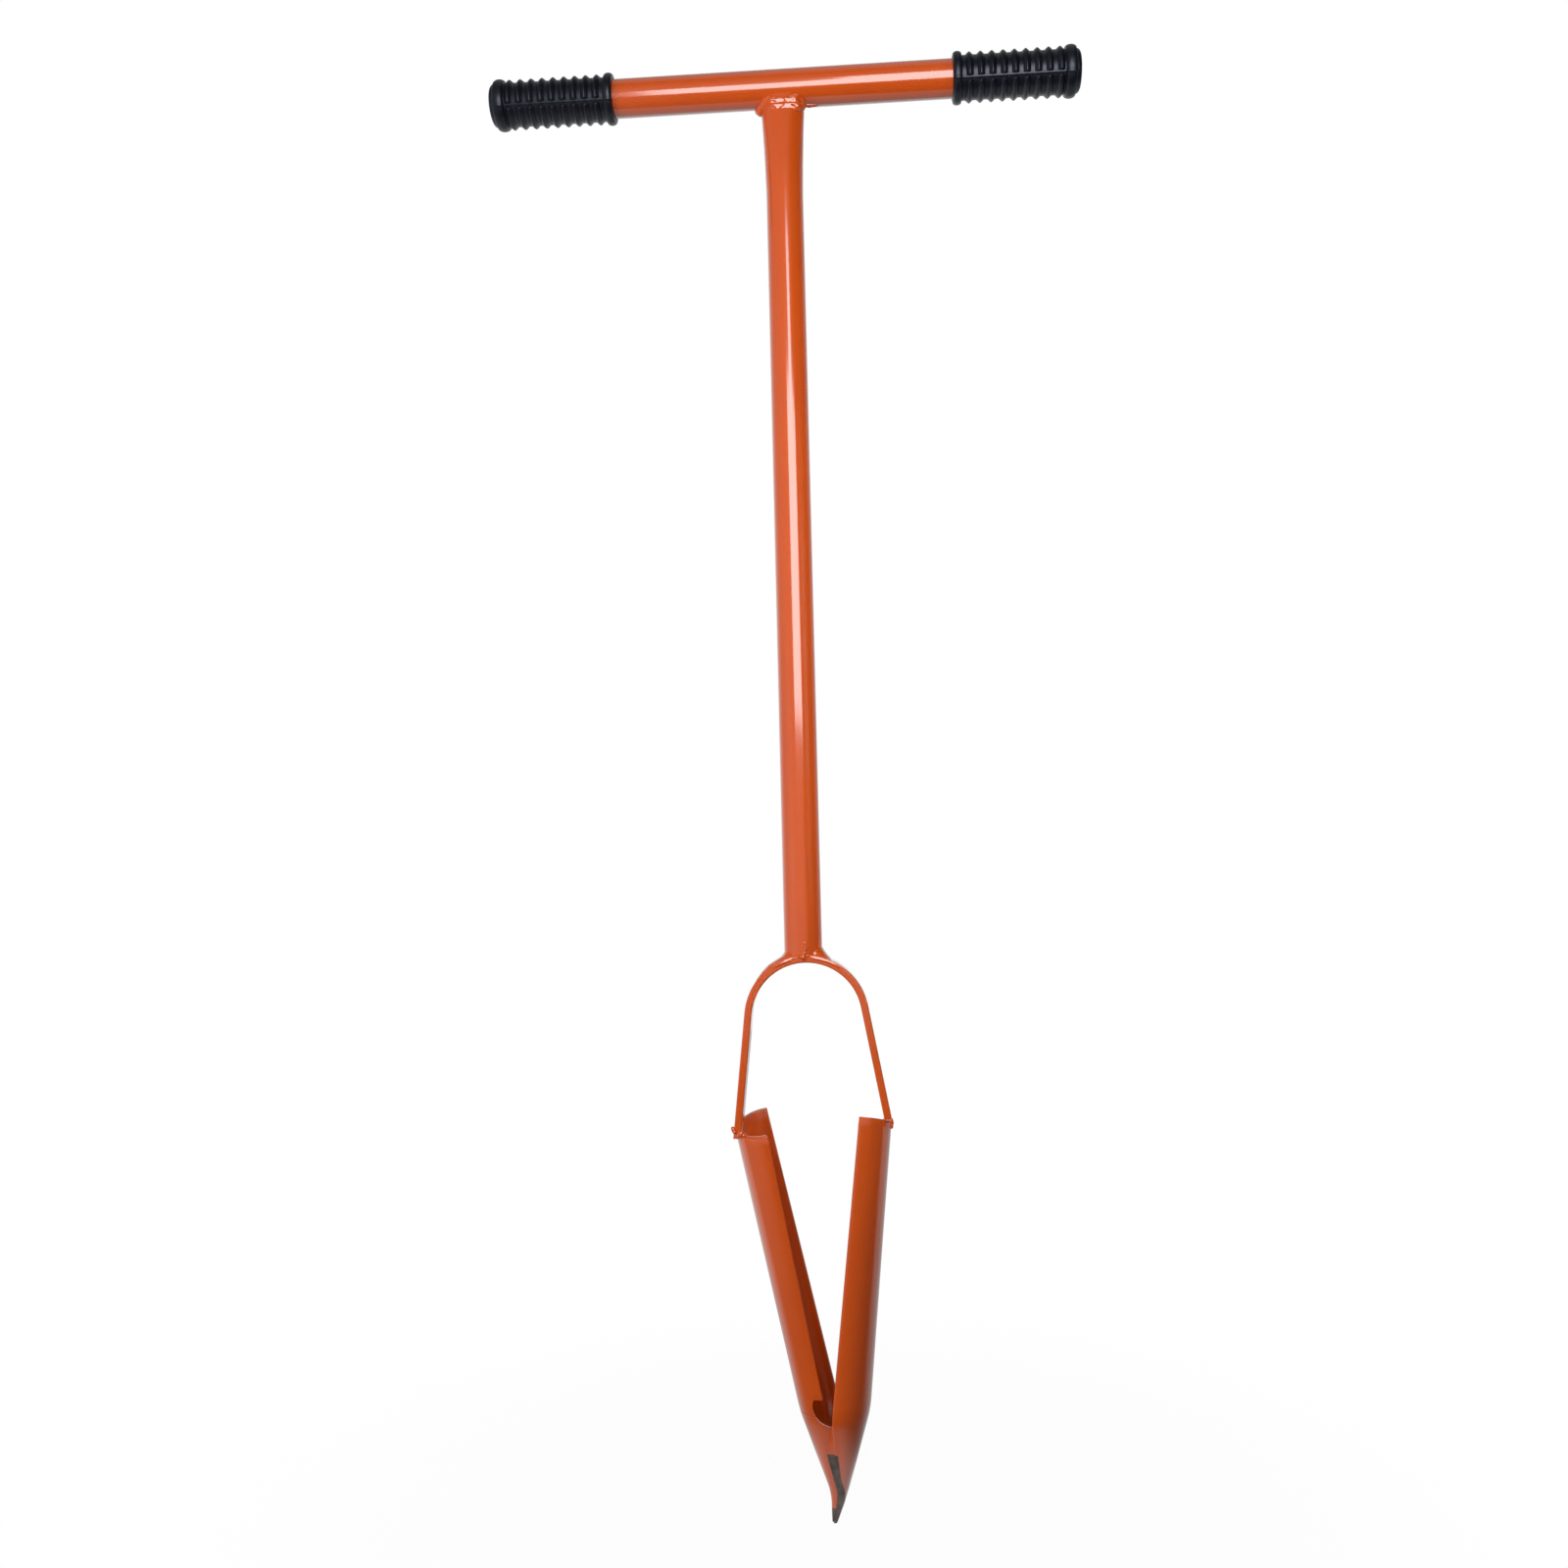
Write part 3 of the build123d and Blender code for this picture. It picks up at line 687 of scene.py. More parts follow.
def rib_tree():
    """Geometry nodes that set a row of ribs on a sleeve and make it one mesh."""
    name = "Grip ribs"
    if name in bpy.data.node_groups:
        return bpy.data.node_groups[name]
    tree, given, result = open_group(name, "GeometryNodeTree", {
        "Geometry": "Geometry", "Rib": "Object", "Count": "Int",
        "First": "Vector", "Pitch": "Vector", "Material": "Material",
    }, {"Geometry": "Geometry"})
    row = add_node(tree, "GeometryNodeMeshLine", {
        "Count": given["Count"], "Start Location": given["First"], "Offset": given["Pitch"],
    }, mode="OFFSET")
    rib = add_node(tree, "GeometryNodeObjectInfo", {"Object": given["Rib"]})
    seat = add_node(tree, "GeometryNodeInstanceOnPoints", {
        "Points": row.outputs["Mesh"], "Instance": rib.outputs["Geometry"],
    })
    both = add_node(tree, "GeometryNodeJoinGeometry")
    for part in (seat.outputs["Instances"], given["Geometry"]):
        feed(tree, both.inputs["Geometry"], part)
    end_tree(tree, both.outputs["Geometry"], given["Material"], result)
    return tree


def make_grip(name, side):
    """One finished rubber grip on the side given by +1 or -1."""
    size = bpy.context.scene.auger_handle
    rib = add_object("rib_model", grip_rib())
    first = size.handle_span / 2 - size.grip_span + size.grip_first_rib
    mesh = run_tree(grip_sleeve(side), rib_tree(), {
        "Rib": rib, "Count": size.grip_rib_count, "First": (side * first, 0.0, 0.0),
        "Pitch": (side * size.grip_rib_pitch, 0.0, 0.0), "Material": finish_material(RUBBER),
    })
    bpy.data.objects.remove(rib)
    finish_piece(name + "_rubber", mesh, (RUBBER,), (name,), GRIP_SHARP)


# Blades

def slope(low, high):
    """Rise of a line through two points."""
    return (high[1] - low[1]) / (high[0] - low[0])


def soft_bend(place, knots, ease):
    """Value at a place of a line through (place, value) knots, its bends rounded over the ease."""
    for (low, first), (high, last) in zip(knots, knots[1:]):
        if place <= high:
            break
    value = first + (last - first) * (place - low) / (high - low)
    for before, knot, after in zip(knots, knots[1:], knots[2:]):
        off = place - knot[0]
        if abs(off) < ease:
            change = slope(knot, after) - slope(before, knot)
            value += change * ((off + ease) ** 2 / (4 * ease) - max(0.0, off))
    return value


def blade_section(height, side, inset):
    """Slice of a blade in the right blade's place, its surfaces drawn in by the inset.

    Gives the centre, the outer and inner radius, and the turns to the leading and trailing edge.
    """
    head = bpy.context.scene.auger_head
    radius, wall = head.pipe_diameter / 2, head.pipe_wall
    fold, rim = head.point_height - FOLD_SINK, head.rim_height
    lean = (rim - fold) * math.tan(head.blade_lean)
    foot = head.point_offset - FOLD_SINK * math.tan(head.blade_lean)
    marks = (0.0, HOOK_HEIGHT, fold, rim)
    tracks = (
        (-side * head.tip_drift, HOOK_OFFSET - side * HOOK_DRIFT, foot, foot + lean),
        (-TIP_LAP, -HOOK_LAP, -POINT_LAP, 0.0),
        (TIP_RADIUS, HOOK_RADIUS, radius, radius),
        (TIP_WALL, HOOK_WALL, wall, wall),
        (LEAD_TIP, LEAD_HOOK, LEAD_POINT, LEAD_RIM),
    )
    across, ahead, outer, wall, lead = (
        soft_bend(height, tuple(zip(marks, track)), FOLD_ROUND) for track in tracks
    )
    if height > fold:
        trail = TRAIL_POINT + (height - fold) / (rim - fold) * (TRAIL_RIM - TRAIL_POINT)
    else:
        trail = TRAIL_TIP + min(1.0, height / HOOK_HEIGHT) * (TRAIL_LAP - TRAIL_TIP)
    inset = min(inset, wall / WALL_PARTS)
    pull = inset / outer
    lead, trail = math.radians(lead) - pull, math.radians(trail) - pull
    return Vector((across, ahead)), outer - inset, outer - wall + inset, lead, trail


def ground_reach(height, radius, sweep):
    """Turn from the leading edge to the end of the ground strip, or to its column above the lip."""
    strip = soft_bend(height, GROUND_STRIP, GROUND_EASE)
    plain = sweep * GROUND_STEPS / ARC_STEPS
    rise = min(1.0, max(0.0, (height - LIP_HEIGHT) / LIP_FADE))
    return min(GROUND_LIMIT * sweep, strip / radius) * (1 - rise) + plain * rise


def blade_ring(height, side, inset):
    """Points of a slice: along the outer arc, round the trailing edge, back, round the lead."""
    centre, outer, inner, lead, trail = blade_section(height, side, inset)
    part = (outer - inner) / WALL_PARTS
    near, far = min(LEAD_ROUND, part), min(TRAIL_ROUND, part)
    start, sweep = near / outer - lead, lead + trail - (near + far) / outer
    strip = ground_reach(height, outer, sweep)
    rest = ARC_STEPS - GROUND_STEPS
    turns = [start + strip * step / GROUND_STEPS for step in range(GROUND_STEPS)]
    turns += [start + strip + (sweep - strip) * step / rest for step in range(rest + 1)]
    near_cut, far_cut = CORNER_CUT * near, CORNER_CUT * far
    first, last = near_cut / outer - lead, trail - far_cut / outer
    spots = [(outer, turn) for turn in turns]
    spots += [(outer - far_cut, last), (outer - far, trail)]
    spots += [(inner + far, trail - TRAIL_SLANT), (inner + far_cut, last - TRAIL_SLANT)]
    shrink = 1 - TRAIL_SLANT / sweep
    spots += [(inner, start + (turn - start) * shrink) for turn in reversed(turns)]
    spots += [(inner + near_cut, first), (inner + near, -lead)]
    spots += [(outer - near, -lead), (outer - near_cut, first)]
    return [
        Vector((centre.x + radius * math.cos(turn), centre.y + radius * math.sin(turn), height))
        for radius, turn in spots
    ]


def rim_of(side):
    """Height and slant of the right blade's rim for +1, and of the left one's for -1."""
    head = bpy.context.scene.auger_head
    if side > 0:
        return head.rim_height - head.right_rim_drop, head.right_rim_slant
    return head.rim_height, head.rim_slant


def rim_base(side):
    """Point where a slanted rim crosses the middle of the blade's back."""
    head = bpy.context.scene.auger_head
    height = rim_of(side)[0]
    out = head.point_offset + (height - head.point_height) * math.tan(head.blade_lean)
    return Vector((out + head.pipe_diameter / 2, 0.0, height))


def meet_rim(spot, other, side):
    """Point where the line from one blade point up to another meets the slanted rim."""
    lean = math.tan(bpy.context.scene.auger_head.blade_lean)
    up = Vector((lean, math.tan(rim_of(side)[1]), 1.0))
    along = other - spot
    return spot + along * ((rim_base(side) - spot).dot(up) / along.dot(up))


def rim_row(side, drop, inset):
    """Ring of a blade at a drop below its rim, its surfaces drawn in by the inset."""
    head = bpy.context.scene.auger_head
    low = blade_ring(head.point_height + FOLD_ROUND, side, inset)
    high = blade_ring(head.rim_height + head.pipe_diameter, side, inset)
    tops = [meet_rim(here, there, side) for here, there in zip(low, high)]
    return [top + (here - top).normalized() * drop for here, top in zip(low, tops)]


def blade_rows(side):
    """Rings of the blade from the tip up to its rounded rim."""
    straight = bpy.context.scene.auger_head.point_height + FOLD_ROUND
    rows = [blade_ring(height, side, 0.0) for height in spread(0, straight, POINT_ROWS)]
    foot, rim = rows[-1], rim_row(side, 0.0, 0.0)
    for share in spread(0, 1, UPPER_ROWS)[1:-1]:
        rows.append([here.lerp(there, share) for here, there in zip(foot, rim)])
    return rows + [rim_row(side, drop, inset) for drop, inset in RIM_EASE]


def cap_ring(shape, ring, finish):
    """Close the C-shaped end of a blade with a strip of faces in one of its two materials."""
    last = 2 * ARC_STEPS + EDGE_POINTS + 1
    faces = [
        (ring[step], ring[step + 1], ring[last - step - 1], ring[last - step])
        for step in range(ARC_STEPS)
    ]
    faces += [ring[ARC_STEPS:ARC_STEPS + EDGE_POINTS + 2], ring[last:] + ring[:1]]
    for corners in faces:
        shape.faces.new(corners).material_index = finish


def blade_solid(side):
    """Closed mesh of a blade in the right blade's place, without its notch, its strip marked."""
    rows = blade_rows(side)
    edge = len(rows[0]) - EDGE_POINTS

    def bare(height, column):
        """Whether a face is on the bare tip or on the ground strip."""
        strip = column < GROUND_STEPS or column >= edge
        return height <= BARE_TIP or (height <= LIP_HEIGHT and strip)

    shape = bmesh.new()
    rings = bridge(shape, rows, bare)
    cap_ring(shape, rings[0], 1)
    cap_ring(shape, rings[-1], 0)
    mesh = mesh_of(shape, "blade")
    for finish in (ENAMEL, STEEL):
        mesh.materials.append(finish_material(finish))
    return mesh


def circle_centre(first, middle, last):
    """Centre of the circle through three points of a plane."""
    a, b = middle - first, last - first
    cross = 2 * (a.x * b.y - a.y * b.x)
    x = (b.y * a.length_squared - a.y * b.length_squared) / cross
    y = (a.x * b.length_squared - b.x * a.length_squared) / cross
    return first + Vector((x, y))


def notch_outline():
    """Side view of the notch in (across, height): its round throat and then its open side."""
    head = bpy.context.scene.auger_head
    first, waist, last = (Vector((x, head.point_height + z)) for x, z in NOTCH_ARC)
    centre = circle_centre(first, waist, last)
    radius = (first - centre).length
    begin = math.atan2(*(first - centre).yx)
    finish = math.atan2(*(last - centre).yx)
    points = [
        centre + radius * Vector((math.cos(turn), math.sin(turn)))
        for turn in spread(begin, finish, NOTCH_STEPS)
    ]
    far = -head.pipe_diameter
    return points + [Vector((far, last.y)), Vector((far, first.y))]


def notch_block():
    """Mesh of the notch's cutter, through the far wall of the right blade."""
    depths = (0.0, bpy.context.scene.auger_head.pipe_diameter)
    outline = notch_outline()
    rows = [[(spot.x, depth, spot.y) for spot in outline] for depth in depths]
    return solid_mesh("notch", rows)


def blade_place(side):
    """Place of a blade of the pair, right for +1 and left for -1."""
    head = bpy.context.scene.auger_head
    rims = Matrix.Translation((0, 0, head.rim_height))
    lean = rims @ Matrix.Rotation(-head.pair_lean, 4, "Y") @ rims.inverted()
    turn = Matrix.Rotation(0.0 if side > 0 else math.pi, 4, "Z")
    return head_matrix() @ Matrix.Translation((0, 0, -head.head_span)) @ lean @ turn


def make_blade(name, side):
    """One finished blade of the pair, with its notch cut and the notch's edges eased."""
    blade = add_object("blade_carrier", blade_solid(side))
    cutter = add_object("notch_carrier", notch_block())
    cut = blade.modifiers.new("notch", "BOOLEAN")
    cut.operation, cut.solver, cut.object = "DIFFERENCE", "EXACT", cutter
    edges = blade.modifiers.new("edges", "BEVEL")
    edges.limit_method, edges.angle_limit = "ANGLE", NOTCH_ANGLE
    edges.width, edges.segments = NOTCH_EASE, NOTCH_SEGMENTS
    mesh = plain_mesh(blade)
    bpy.data.objects.remove(cutter)
    mesh.transform(blade_place(side))
    finish_piece(name + "_trough", mesh, (ENAMEL, STEEL), (name,), BLADE_SHARP)


def lip_points(height, side):
    """Wedge slice of the cutting lip: outer and inner root on the blade, and the lip's edge."""
    centre, outer, inner, lead = blade_section(height, side, 0.0)[:4]
    reach = soft_bend(height, LIP_REACHES, LIP_ROUND)
    root = lead - LIP_ROOT_ANGLE
    wave = noise.noise(Vector((height * LIP_WAVES, side, 0.0))) * LIP_WAVE
    wave *= reach / LIP_REACHES[1][1]
    first = centre + Vector((outer * math.cos(root), -outer * math.sin(root)))
    second = centre + Vector((inner * math.cos(root), -inner * math.sin(root)))
    edge = Vector((centre.x + inner * math.cos(lead) - reach - wave, second.y))
    return first, second, edge


def make_lip(name, side):
    """The cutting lip along the leading edge of a blade's point, ground bare below its tooth."""
    rows = []
    for height in spread(LIP_REACHES[0][0], LIP_REACHES[-1][0], LIP_ROWS):
        first, second, edge = lip_points(height, side)
        keen = (first - second).normalized() * EDGE_KEEN
        ring = (first, first.lerp(edge, 0.5), edge + keen, edge, second.lerp(edge, 0.5), second)
        rows.append([(spot.x, spot.y, height) for spot in ring])
    mesh = solid_mesh(name, rows, lambda height, column: height <= LIP_HEIGHT)
    mesh.transform(blade_place(side))
    finish_piece(name, mesh, (ENAMEL, STEEL), sharp=LIP_SHARP)


def make_core(name):
    """The weld metal inside the point that holds the two blades together."""
    turns = spread(0, 2 * math.pi, CORE_COLUMNS)[:-1]
    rows = []
    for height in spread(CORE_FOOT, CORE_TOP, CORE_ROWS):
        centre, outer, inner = blade_section(height, 1, 0.0)[:3]
        x, y = (centre - blade_section(height, -1, 0.0)[0]) / 2
        radius = inner + CORE_BITE * (outer - inner)
        rows.append([
            (x + radius * math.cos(turn), y + radius * math.sin(turn), height) for turn in turns
        ])
    mesh = solid_mesh(name, rows)
    mesh.transform(blade_place(1))
    finish_piece(name + "_core", mesh, (STEEL,), (name,), BLADE_SHARP)


# Welds

def weld_tree():
    """Geometry nodes that lay a run of overlapping ripples along a path."""
    name = "Weld ripples"
    if name in bpy.data.node_groups:
        return bpy.data.node_groups[name]
    tree, given, result = open_group(name, "GeometryNodeTree", {
        "Geometry": "Geometry", "Spacing": "Float", "Radius": "Float", "Least": "Float",
        "Most": "Float", "Shift": "Float", "Seed": "Int", "Material": "Material",
    }, {"Geometry": "Geometry"})
    path = add_node(tree, "GeometryNodeMeshToCurve", {"Mesh": given["Geometry"]})
    even = add_node(tree, "GeometryNodeResampleCurve", {
        "Curve": path.outputs["Curve"], "Length": given["Spacing"],
    }, mode="LENGTH")
    jolt = add_node(tree, "FunctionNodeRandomValue", {
        "Min": (-1, -1, -1), "Max": (1, 1, 1), "Seed": given["Seed"],
    }, data_type="FLOAT_VECTOR")
    throw = add_node(tree, "ShaderNodeVectorMath", {
        0: jolt.outputs["Value"], "Scale": given["Shift"],
    }, operation="SCALE")
    shift = add_node(tree, "GeometryNodeSetPosition", {
        "Geometry": even.outputs["Curve"], "Offset": throw.outputs["Vector"],
    })
    drop = add_node(tree, "GeometryNodeMeshIcoSphere", {
        "Radius": given["Radius"], "Subdivisions": RIPPLE_CUTS,
    })
    size = add_node(tree, "FunctionNodeRandomValue", {
        "Min": given["Least"], "Max": given["Most"], "Seed": given["Seed"],
    }, data_type="FLOAT")
    lay = add_node(tree, "GeometryNodeInstanceOnPoints", {
        "Points": shift.outputs["Geometry"], "Instance": drop.outputs["Mesh"],
        "Scale": size.outputs["Value"],
    })
    end_tree(tree, lay.outputs["Instances"], given["Material"], result)
    return tree


def path_mesh(points):
    """Mesh of one line of edges through the points."""
    mesh = bpy.data.meshes.new("weld_path")
    edges = [(here, here + 1) for here in range(len(points) - 1)]
    mesh.from_pydata([tuple(spot) for spot in points], edges, [])
    return mesh


def placed_runs(runs, place, base=(0, 0, 0)):
    """Runs in the frame, from runs in millimetres from the base of a place."""
    base = Vector(base)
    return [
        ([place @ (base + Vector(spot) * MM) for spot in spots], radius * MM, *bead)
        for spots, radius, *bead in runs
    ]


def weld_piece(name, node, runs, solids=()):
    """Weld metal in runs of (points, radius, swing, seed) and in solids, melted to one skin."""
    shape = bmesh.new()
    for rows in solids:
        ring_solid(shape, rows)
    for points, radius, swing, seed in runs:
        beads = run_tree(path_mesh(points), weld_tree(), {
            "Spacing": radius * RIPPLE_PITCH, "Radius": radius, "Least": 1 - swing,
            "Most": 1 + swing, "Shift": radius * RIPPLE_SHIFT, "Seed": seed,
            "Material": finish_material(ENAMEL),
        })
        shape.from_mesh(beads)
        bpy.data.meshes.remove(beads)
    carrier = add_object(name + "_carrier", mesh_of(shape, name))
    melt = carrier.modifiers.new("melt", "REMESH")
    melt.mode, melt.voxel_size = "VOXEL", WELD_VOXEL
    flow = carrier.modifiers.new("flow", "SMOOTH")
    flow.factor, flow.iterations = WELD_FLOW, WELD_FLOW_STEPS
    finish_piece(name, plain_mesh(carrier), (ENAMEL,), (node,))


def saddle_path():
    """Path round the shaft's flattened top, under the handle."""
    size = bpy.context.scene.auger_handle
    tube = size.tube_diameter / 2
    points = []
    for turn in map(math.radians, spread(0, 360, SADDLE_STEPS)):
        x = (SHAFT_TOP_WIDTH / 2 + SADDLE_GROW) * math.cos(turn)
        y = (SHAFT_TOP_DEPTH / 2 + SADDLE_GROW) * math.sin(turn)
        drop = math.sqrt(tube ** 2 - min(abs(y), tube - SADDLE_LIFT) ** 2)
        points.append(Vector((x, y, size.handle_height - drop - SADDLE_LIFT)))
    return points


def layer_rows():
    """Rows of the pad on the weld's front: two layers whose sloped faces catch the light."""
    height = bpy.context.scene.auger_handle.handle_height
    low, high = LAYER_PROFILE[0][0], LAYER_PROFILE[-1][0]
    left, right = LAYER_SPAN
    rows = []
    for row, x in enumerate(spread(left, right, LAYER_ROWS)):
        end = math.sqrt(min(1.0, (x - left) / LAYER_END, (right - x) / LAYER_END))
        crown = LAYER_CROWN * (1 - (2 * row / LAYER_ROWS - 1) ** 2)
        front, root = [], []
        for z in spread(low, high, LAYER_STEPS):
            spot = Vector((x * LAYER_WAVES, LAYER_SEED, z * LAYER_WAVES))
            proud = soft_bend(z, LAYER_PROFILE, LAYER_EASE) * end + LAYER_WAVE * noise.noise(spot)
            front.append((x, LAYER_FRONT - crown - proud, height + z))
            root.append((x, LAYER_ROOT, height + z))
        rows.append(front + root[::-1])
    return rows


def make_handle_weld():
    """Weld round the shaft's top: a pad in front, a toe at the left and a tail at the right."""
    height = bpy.context.scene.auger_handle.handle_height
    runs = [(saddle_path(), *SADDLE_BEAD)]
    runs += placed_runs(HANDLE_RUNS, Matrix.Translation((0, 0, height)))
    weld_piece("handle_weld_bead", "handle_weld", runs, (layer_rows(),))


def crown_path(span, grow, lift):
    """Path round the shaft's foot on the bow's crown, over a span of turns in degrees."""
    radius = bpy.context.scene.auger_handle.tube_diameter / 2 + grow
    place = head_matrix()
    points = []
    for turn in map(math.radians, spread(*span, CROWN_STEPS)):
        x = radius * math.cos(turn)
        y = max(-BAR_DEPTH / 2, min(BAR_DEPTH / 2, radius * math.sin(turn)))
        z = math.sqrt(BOW_OUTER_RADIUS ** 2 - x * x) - BOW_OUTER_RADIUS + lift
        points.append(place @ Vector((x, y, z)))
    return points


def bow_point(place, radius, bend, y):
    """Point of the head at a radius and a bend from the top of the bow's arch, and at a depth."""
    z = radius * math.cos(bend) - BOW_OUTER_RADIUS
    return place @ Vector((radius * math.sin(bend), y, z))


def shoulder_rows(side, profile):
    """Rows of a weld shoulder beside the shaft, from (turn, rise) steps along the bow's back."""
    tube = bpy.context.scene.auger_handle.tube_diameter / 2
    place = head_matrix()
    rows = []
    for share in spread(-1, 1, SHOULDER_ROWS):
        y = share * (BAR_DEPTH / 2 - SHOULDER_SET_BACK)
        chord = math.sqrt(tube ** 2 - y ** 2)
        shift = math.asin(tube / BOW_OUTER_RADIUS) - math.asin(chord / BOW_OUTER_RADIUS)
        full = 1 - SHOULDER_FALL * abs(share) ** SHOULDER_POWER
        top, root = [], []
        for index, (turn, rise) in enumerate(profile):
            bend = side * (math.radians(turn) - shift * (1 - index / (len(profile) - 1)))
            top.append(bow_point(place, BOW_OUTER_RADIUS + rise * MM * full, bend, y))
            root.append(bow_point(place, BOW_OUTER_RADIUS - SHOULDER_ROOT, bend, y))
        rows.append(top + root[::-1])
    return rows


def toe_rows(start, end):
    """Rows of the weld's thin toe along the bow's upper front edge, between turns in degrees."""
    low, high = TOE_PROFILE[0][0], TOE_PROFILE[-1][0]
    place, face = head_matrix(), -BAR_DEPTH / 2
    rows = []
    for row, bend in enumerate(map(math.radians, spread(start, end, TOE_ROWS))):
        share = min(1 - TOE_END, max(TOE_END, row / TOE_ROWS))
        full = math.sqrt(math.sin(math.pi * share))
        front, root = [], []
        for radius in spread(low, high, TOE_STEPS):
            proud = soft_bend(radius, TOE_PROFILE, TOE_EASE) * full
            front.append(bow_point(place, radius, bend, face + TOE_SINK - proud))
            root.append(bow_point(place, radius, bend, face + TOE_ROOT))
        rows.append(front + root[::-1])
    return rows


def make_bow_weld():
    """Weld round the shaft's foot: a shoulder on each side, the left one far down the arch."""
    runs = [(crown_path(*line), *bead) for *line, bead in CROWN_RUNS]
    runs += placed_runs(BOW_RUNS, head_matrix())
    solids = [shoulder_rows(-1, LEFT_SHOULDER), shoulder_rows(1, RIGHT_SHOULDER)]
    solids += [toe_rows(start, end) for start, end in TOE_SPANS]
    weld_piece("bow_weld_bead", "bow_weld", runs, solids)


def rim_path(side, span, steps, out, up):
    """Path across a bow foot on a blade's rim, over a span in shares of the bar's depth."""
    lean = math.tan(bpy.context.scene.auger_head.blade_lean)
    slant = math.tan(rim_of(side)[1])
    place, base = blade_place(side), rim_base(side)
    points = []
    for y in (BAR_DEPTH * share for share in spread(*span, steps)):
        points.append(place @ (base + Vector((out, y, up - y * slant - out * lean))))
    return points


def make_rim_weld(name, side, lumps):
    """Thin weld runs along both faces of a bow foot, with lumps at the end that faces forward."""
    span, *rest = RIM_END
    lines = (*RIM_RUNS, ([side * share for share in span], *rest))
    runs = [(rim_path(side, *line), *bead) for *line, bead in lines]
    runs += placed_runs(lumps, blade_place(side), rim_base(side))
    weld_piece(name + "_bead", name, runs)


# Stage

def white_world():
    """White to the camera, and to the object a surround that is bright left, behind and above."""
    stage = bpy.context.scene.auger_stage
    world = bpy.data.worlds.new("White studio")
    bpy.context.scene.world = world
    tree = emptied_tree(world)
    way = add_node(tree, "ShaderNodeTexCoord").outputs["Generated"]
    split = add_node(tree, "ShaderNodeSeparateXYZ", {"Vector": way}).outputs
    sides = combine(
        tree, "MULTIPLY",
        ramp(tree, split["X"], SURROUND_SIDES, (stage.left_level, stage.right_level)),
        ramp(tree, split["Z"], SURROUND_RISE, (1.0, SURROUND_HIGH_SHARE)),
    )
    back = ramp(tree, split["Y"], SURROUND_BACK, (0.0, stage.back_level))
    top = ramp(tree, split["Z"], SURROUND_TOP, (0.0, stage.top_level))
    level = combine(tree, "ADD", combine(tree, "ADD", sides, back), top)
    surround = add_node(tree, "ShaderNodeBackground", {"Strength": level})
    seen = add_node(tree, "ShaderNodeBackground", {"Color": (1, 1, 1, 1), "Strength": 1.0})
    path = add_node(tree, "ShaderNodeLightPath")
    mix = add_node(tree, "ShaderNodeMixShader", {
        "Fac": path.outputs["Is Camera Ray"],
        1: surround.outputs["Background"], 2: seen.outputs["Background"],
    })
    add_node(tree, "ShaderNodeOutputWorld", {"Surface": mix.outputs["Shader"]})


def floor_material():
    """Pale floor that is white to the camera, with a faint shadow, and glows in reflections."""
    stage = bpy.context.scene.auger_stage
    material = bpy.data.materials.new("Pale floor")
    tree = emptied_tree(material)
    spot = add_node(tree, "ShaderNodeTexCoord").outputs["Object"]
    split = add_node(tree, "ShaderNodeSeparateXYZ", {"Vector": spot}).outputs
    far = add_node(tree, "ShaderNodeVectorMath", {0: spot}, operation="LENGTH").outputs["Value"]
    path = add_node(tree, "ShaderNodeLightPath").outputs
    camera, glossy = path["Is Camera Ray"], path["Is Glossy Ray"]
    back = ramp(tree, split["Y"], FLOOR_BACK, (0.0, stage.back_floor))
    left = ramp(tree, split["X"], FLOOR_LEFT, (stage.left_floor, stage.front_floor))
    near = ramp(tree, far, FLOOR_NEAR, (1.0, 0.0))
    point = ramp(tree, split["X"], FLOOR_POINT, (stage.near_floor, stage.right_floor))
    wide = combine(tree, "ADD", back, left)
    level = combine(tree, "ADD", wide, combine(tree, "MULTIPLY", near, point))
    mirrored = combine(tree, "MULTIPLY", level, glossy)
    seen = combine(tree, "MULTIPLY", ramp(tree, far, FLOOR_FADE, (FLOOR_WHITE, 1.0)), camera)
    tint = add_node(tree, "ShaderNodeMix", {
        "Factor": camera, "B": (*stage.floor_colour, 1.0),
        "A": (*(stage.floor_bounce * part for part in stage.floor_colour), 1.0),
    }, data_type="RGBA")
    matt = add_node(tree, "ShaderNodeBsdfDiffuse", {"Color": tint.outputs["Result"]})
    glow = add_node(tree, "ShaderNodeEmission", {
        "Strength": combine(tree, "ADD", camera, mirrored),
    })
    mix = add_node(tree, "ShaderNodeMixShader", {
        "Fac": combine(tree, "ADD", seen, glossy),
        1: matt.outputs["BSDF"], 2: glow.outputs["Emission"],
    })
    add_node(tree, "ShaderNodeOutputMaterial", {"Surface": mix.outputs["Shader"]})
    return material


def add_floor():
    """Round pale floor under the blade tips."""
    shape = bmesh.new()
    bmesh.ops.create_circle(
        shape, cap_ends=True, segments=FLOOR_CORNERS,
        radius=bpy.context.scene.auger_stage.floor_radius,
    )
    bmesh.ops.translate(shape, verts=shape.verts, vec=(0, 0, CAD_BOX[0][2] - FLOOR_GAP))
    mesh = bpy.data.meshes.new("studio_floor")
    shape.to_mesh(mesh)
    shape.free()
    mesh.materials.append(floor_material())
    floor = add_object("studio_floor", mesh)


def add_panel(name, panel, power):
    """Rectangular softbox that the camera doesn't see."""
    place, aim, size = panel
    light = bpy.data.lights.new(name, "AREA")
    light.shape = "RECTANGLE"
    light.size, light.size_y = size
    light.energy = power
    lamp = add_object(name, light)
    lamp.location = place
    lamp.rotation_euler = (Vector(aim) - Vector(place)).to_track_quat("-Z", "Y").to_euler()
    lamp.visible_camera = False
    return lamp


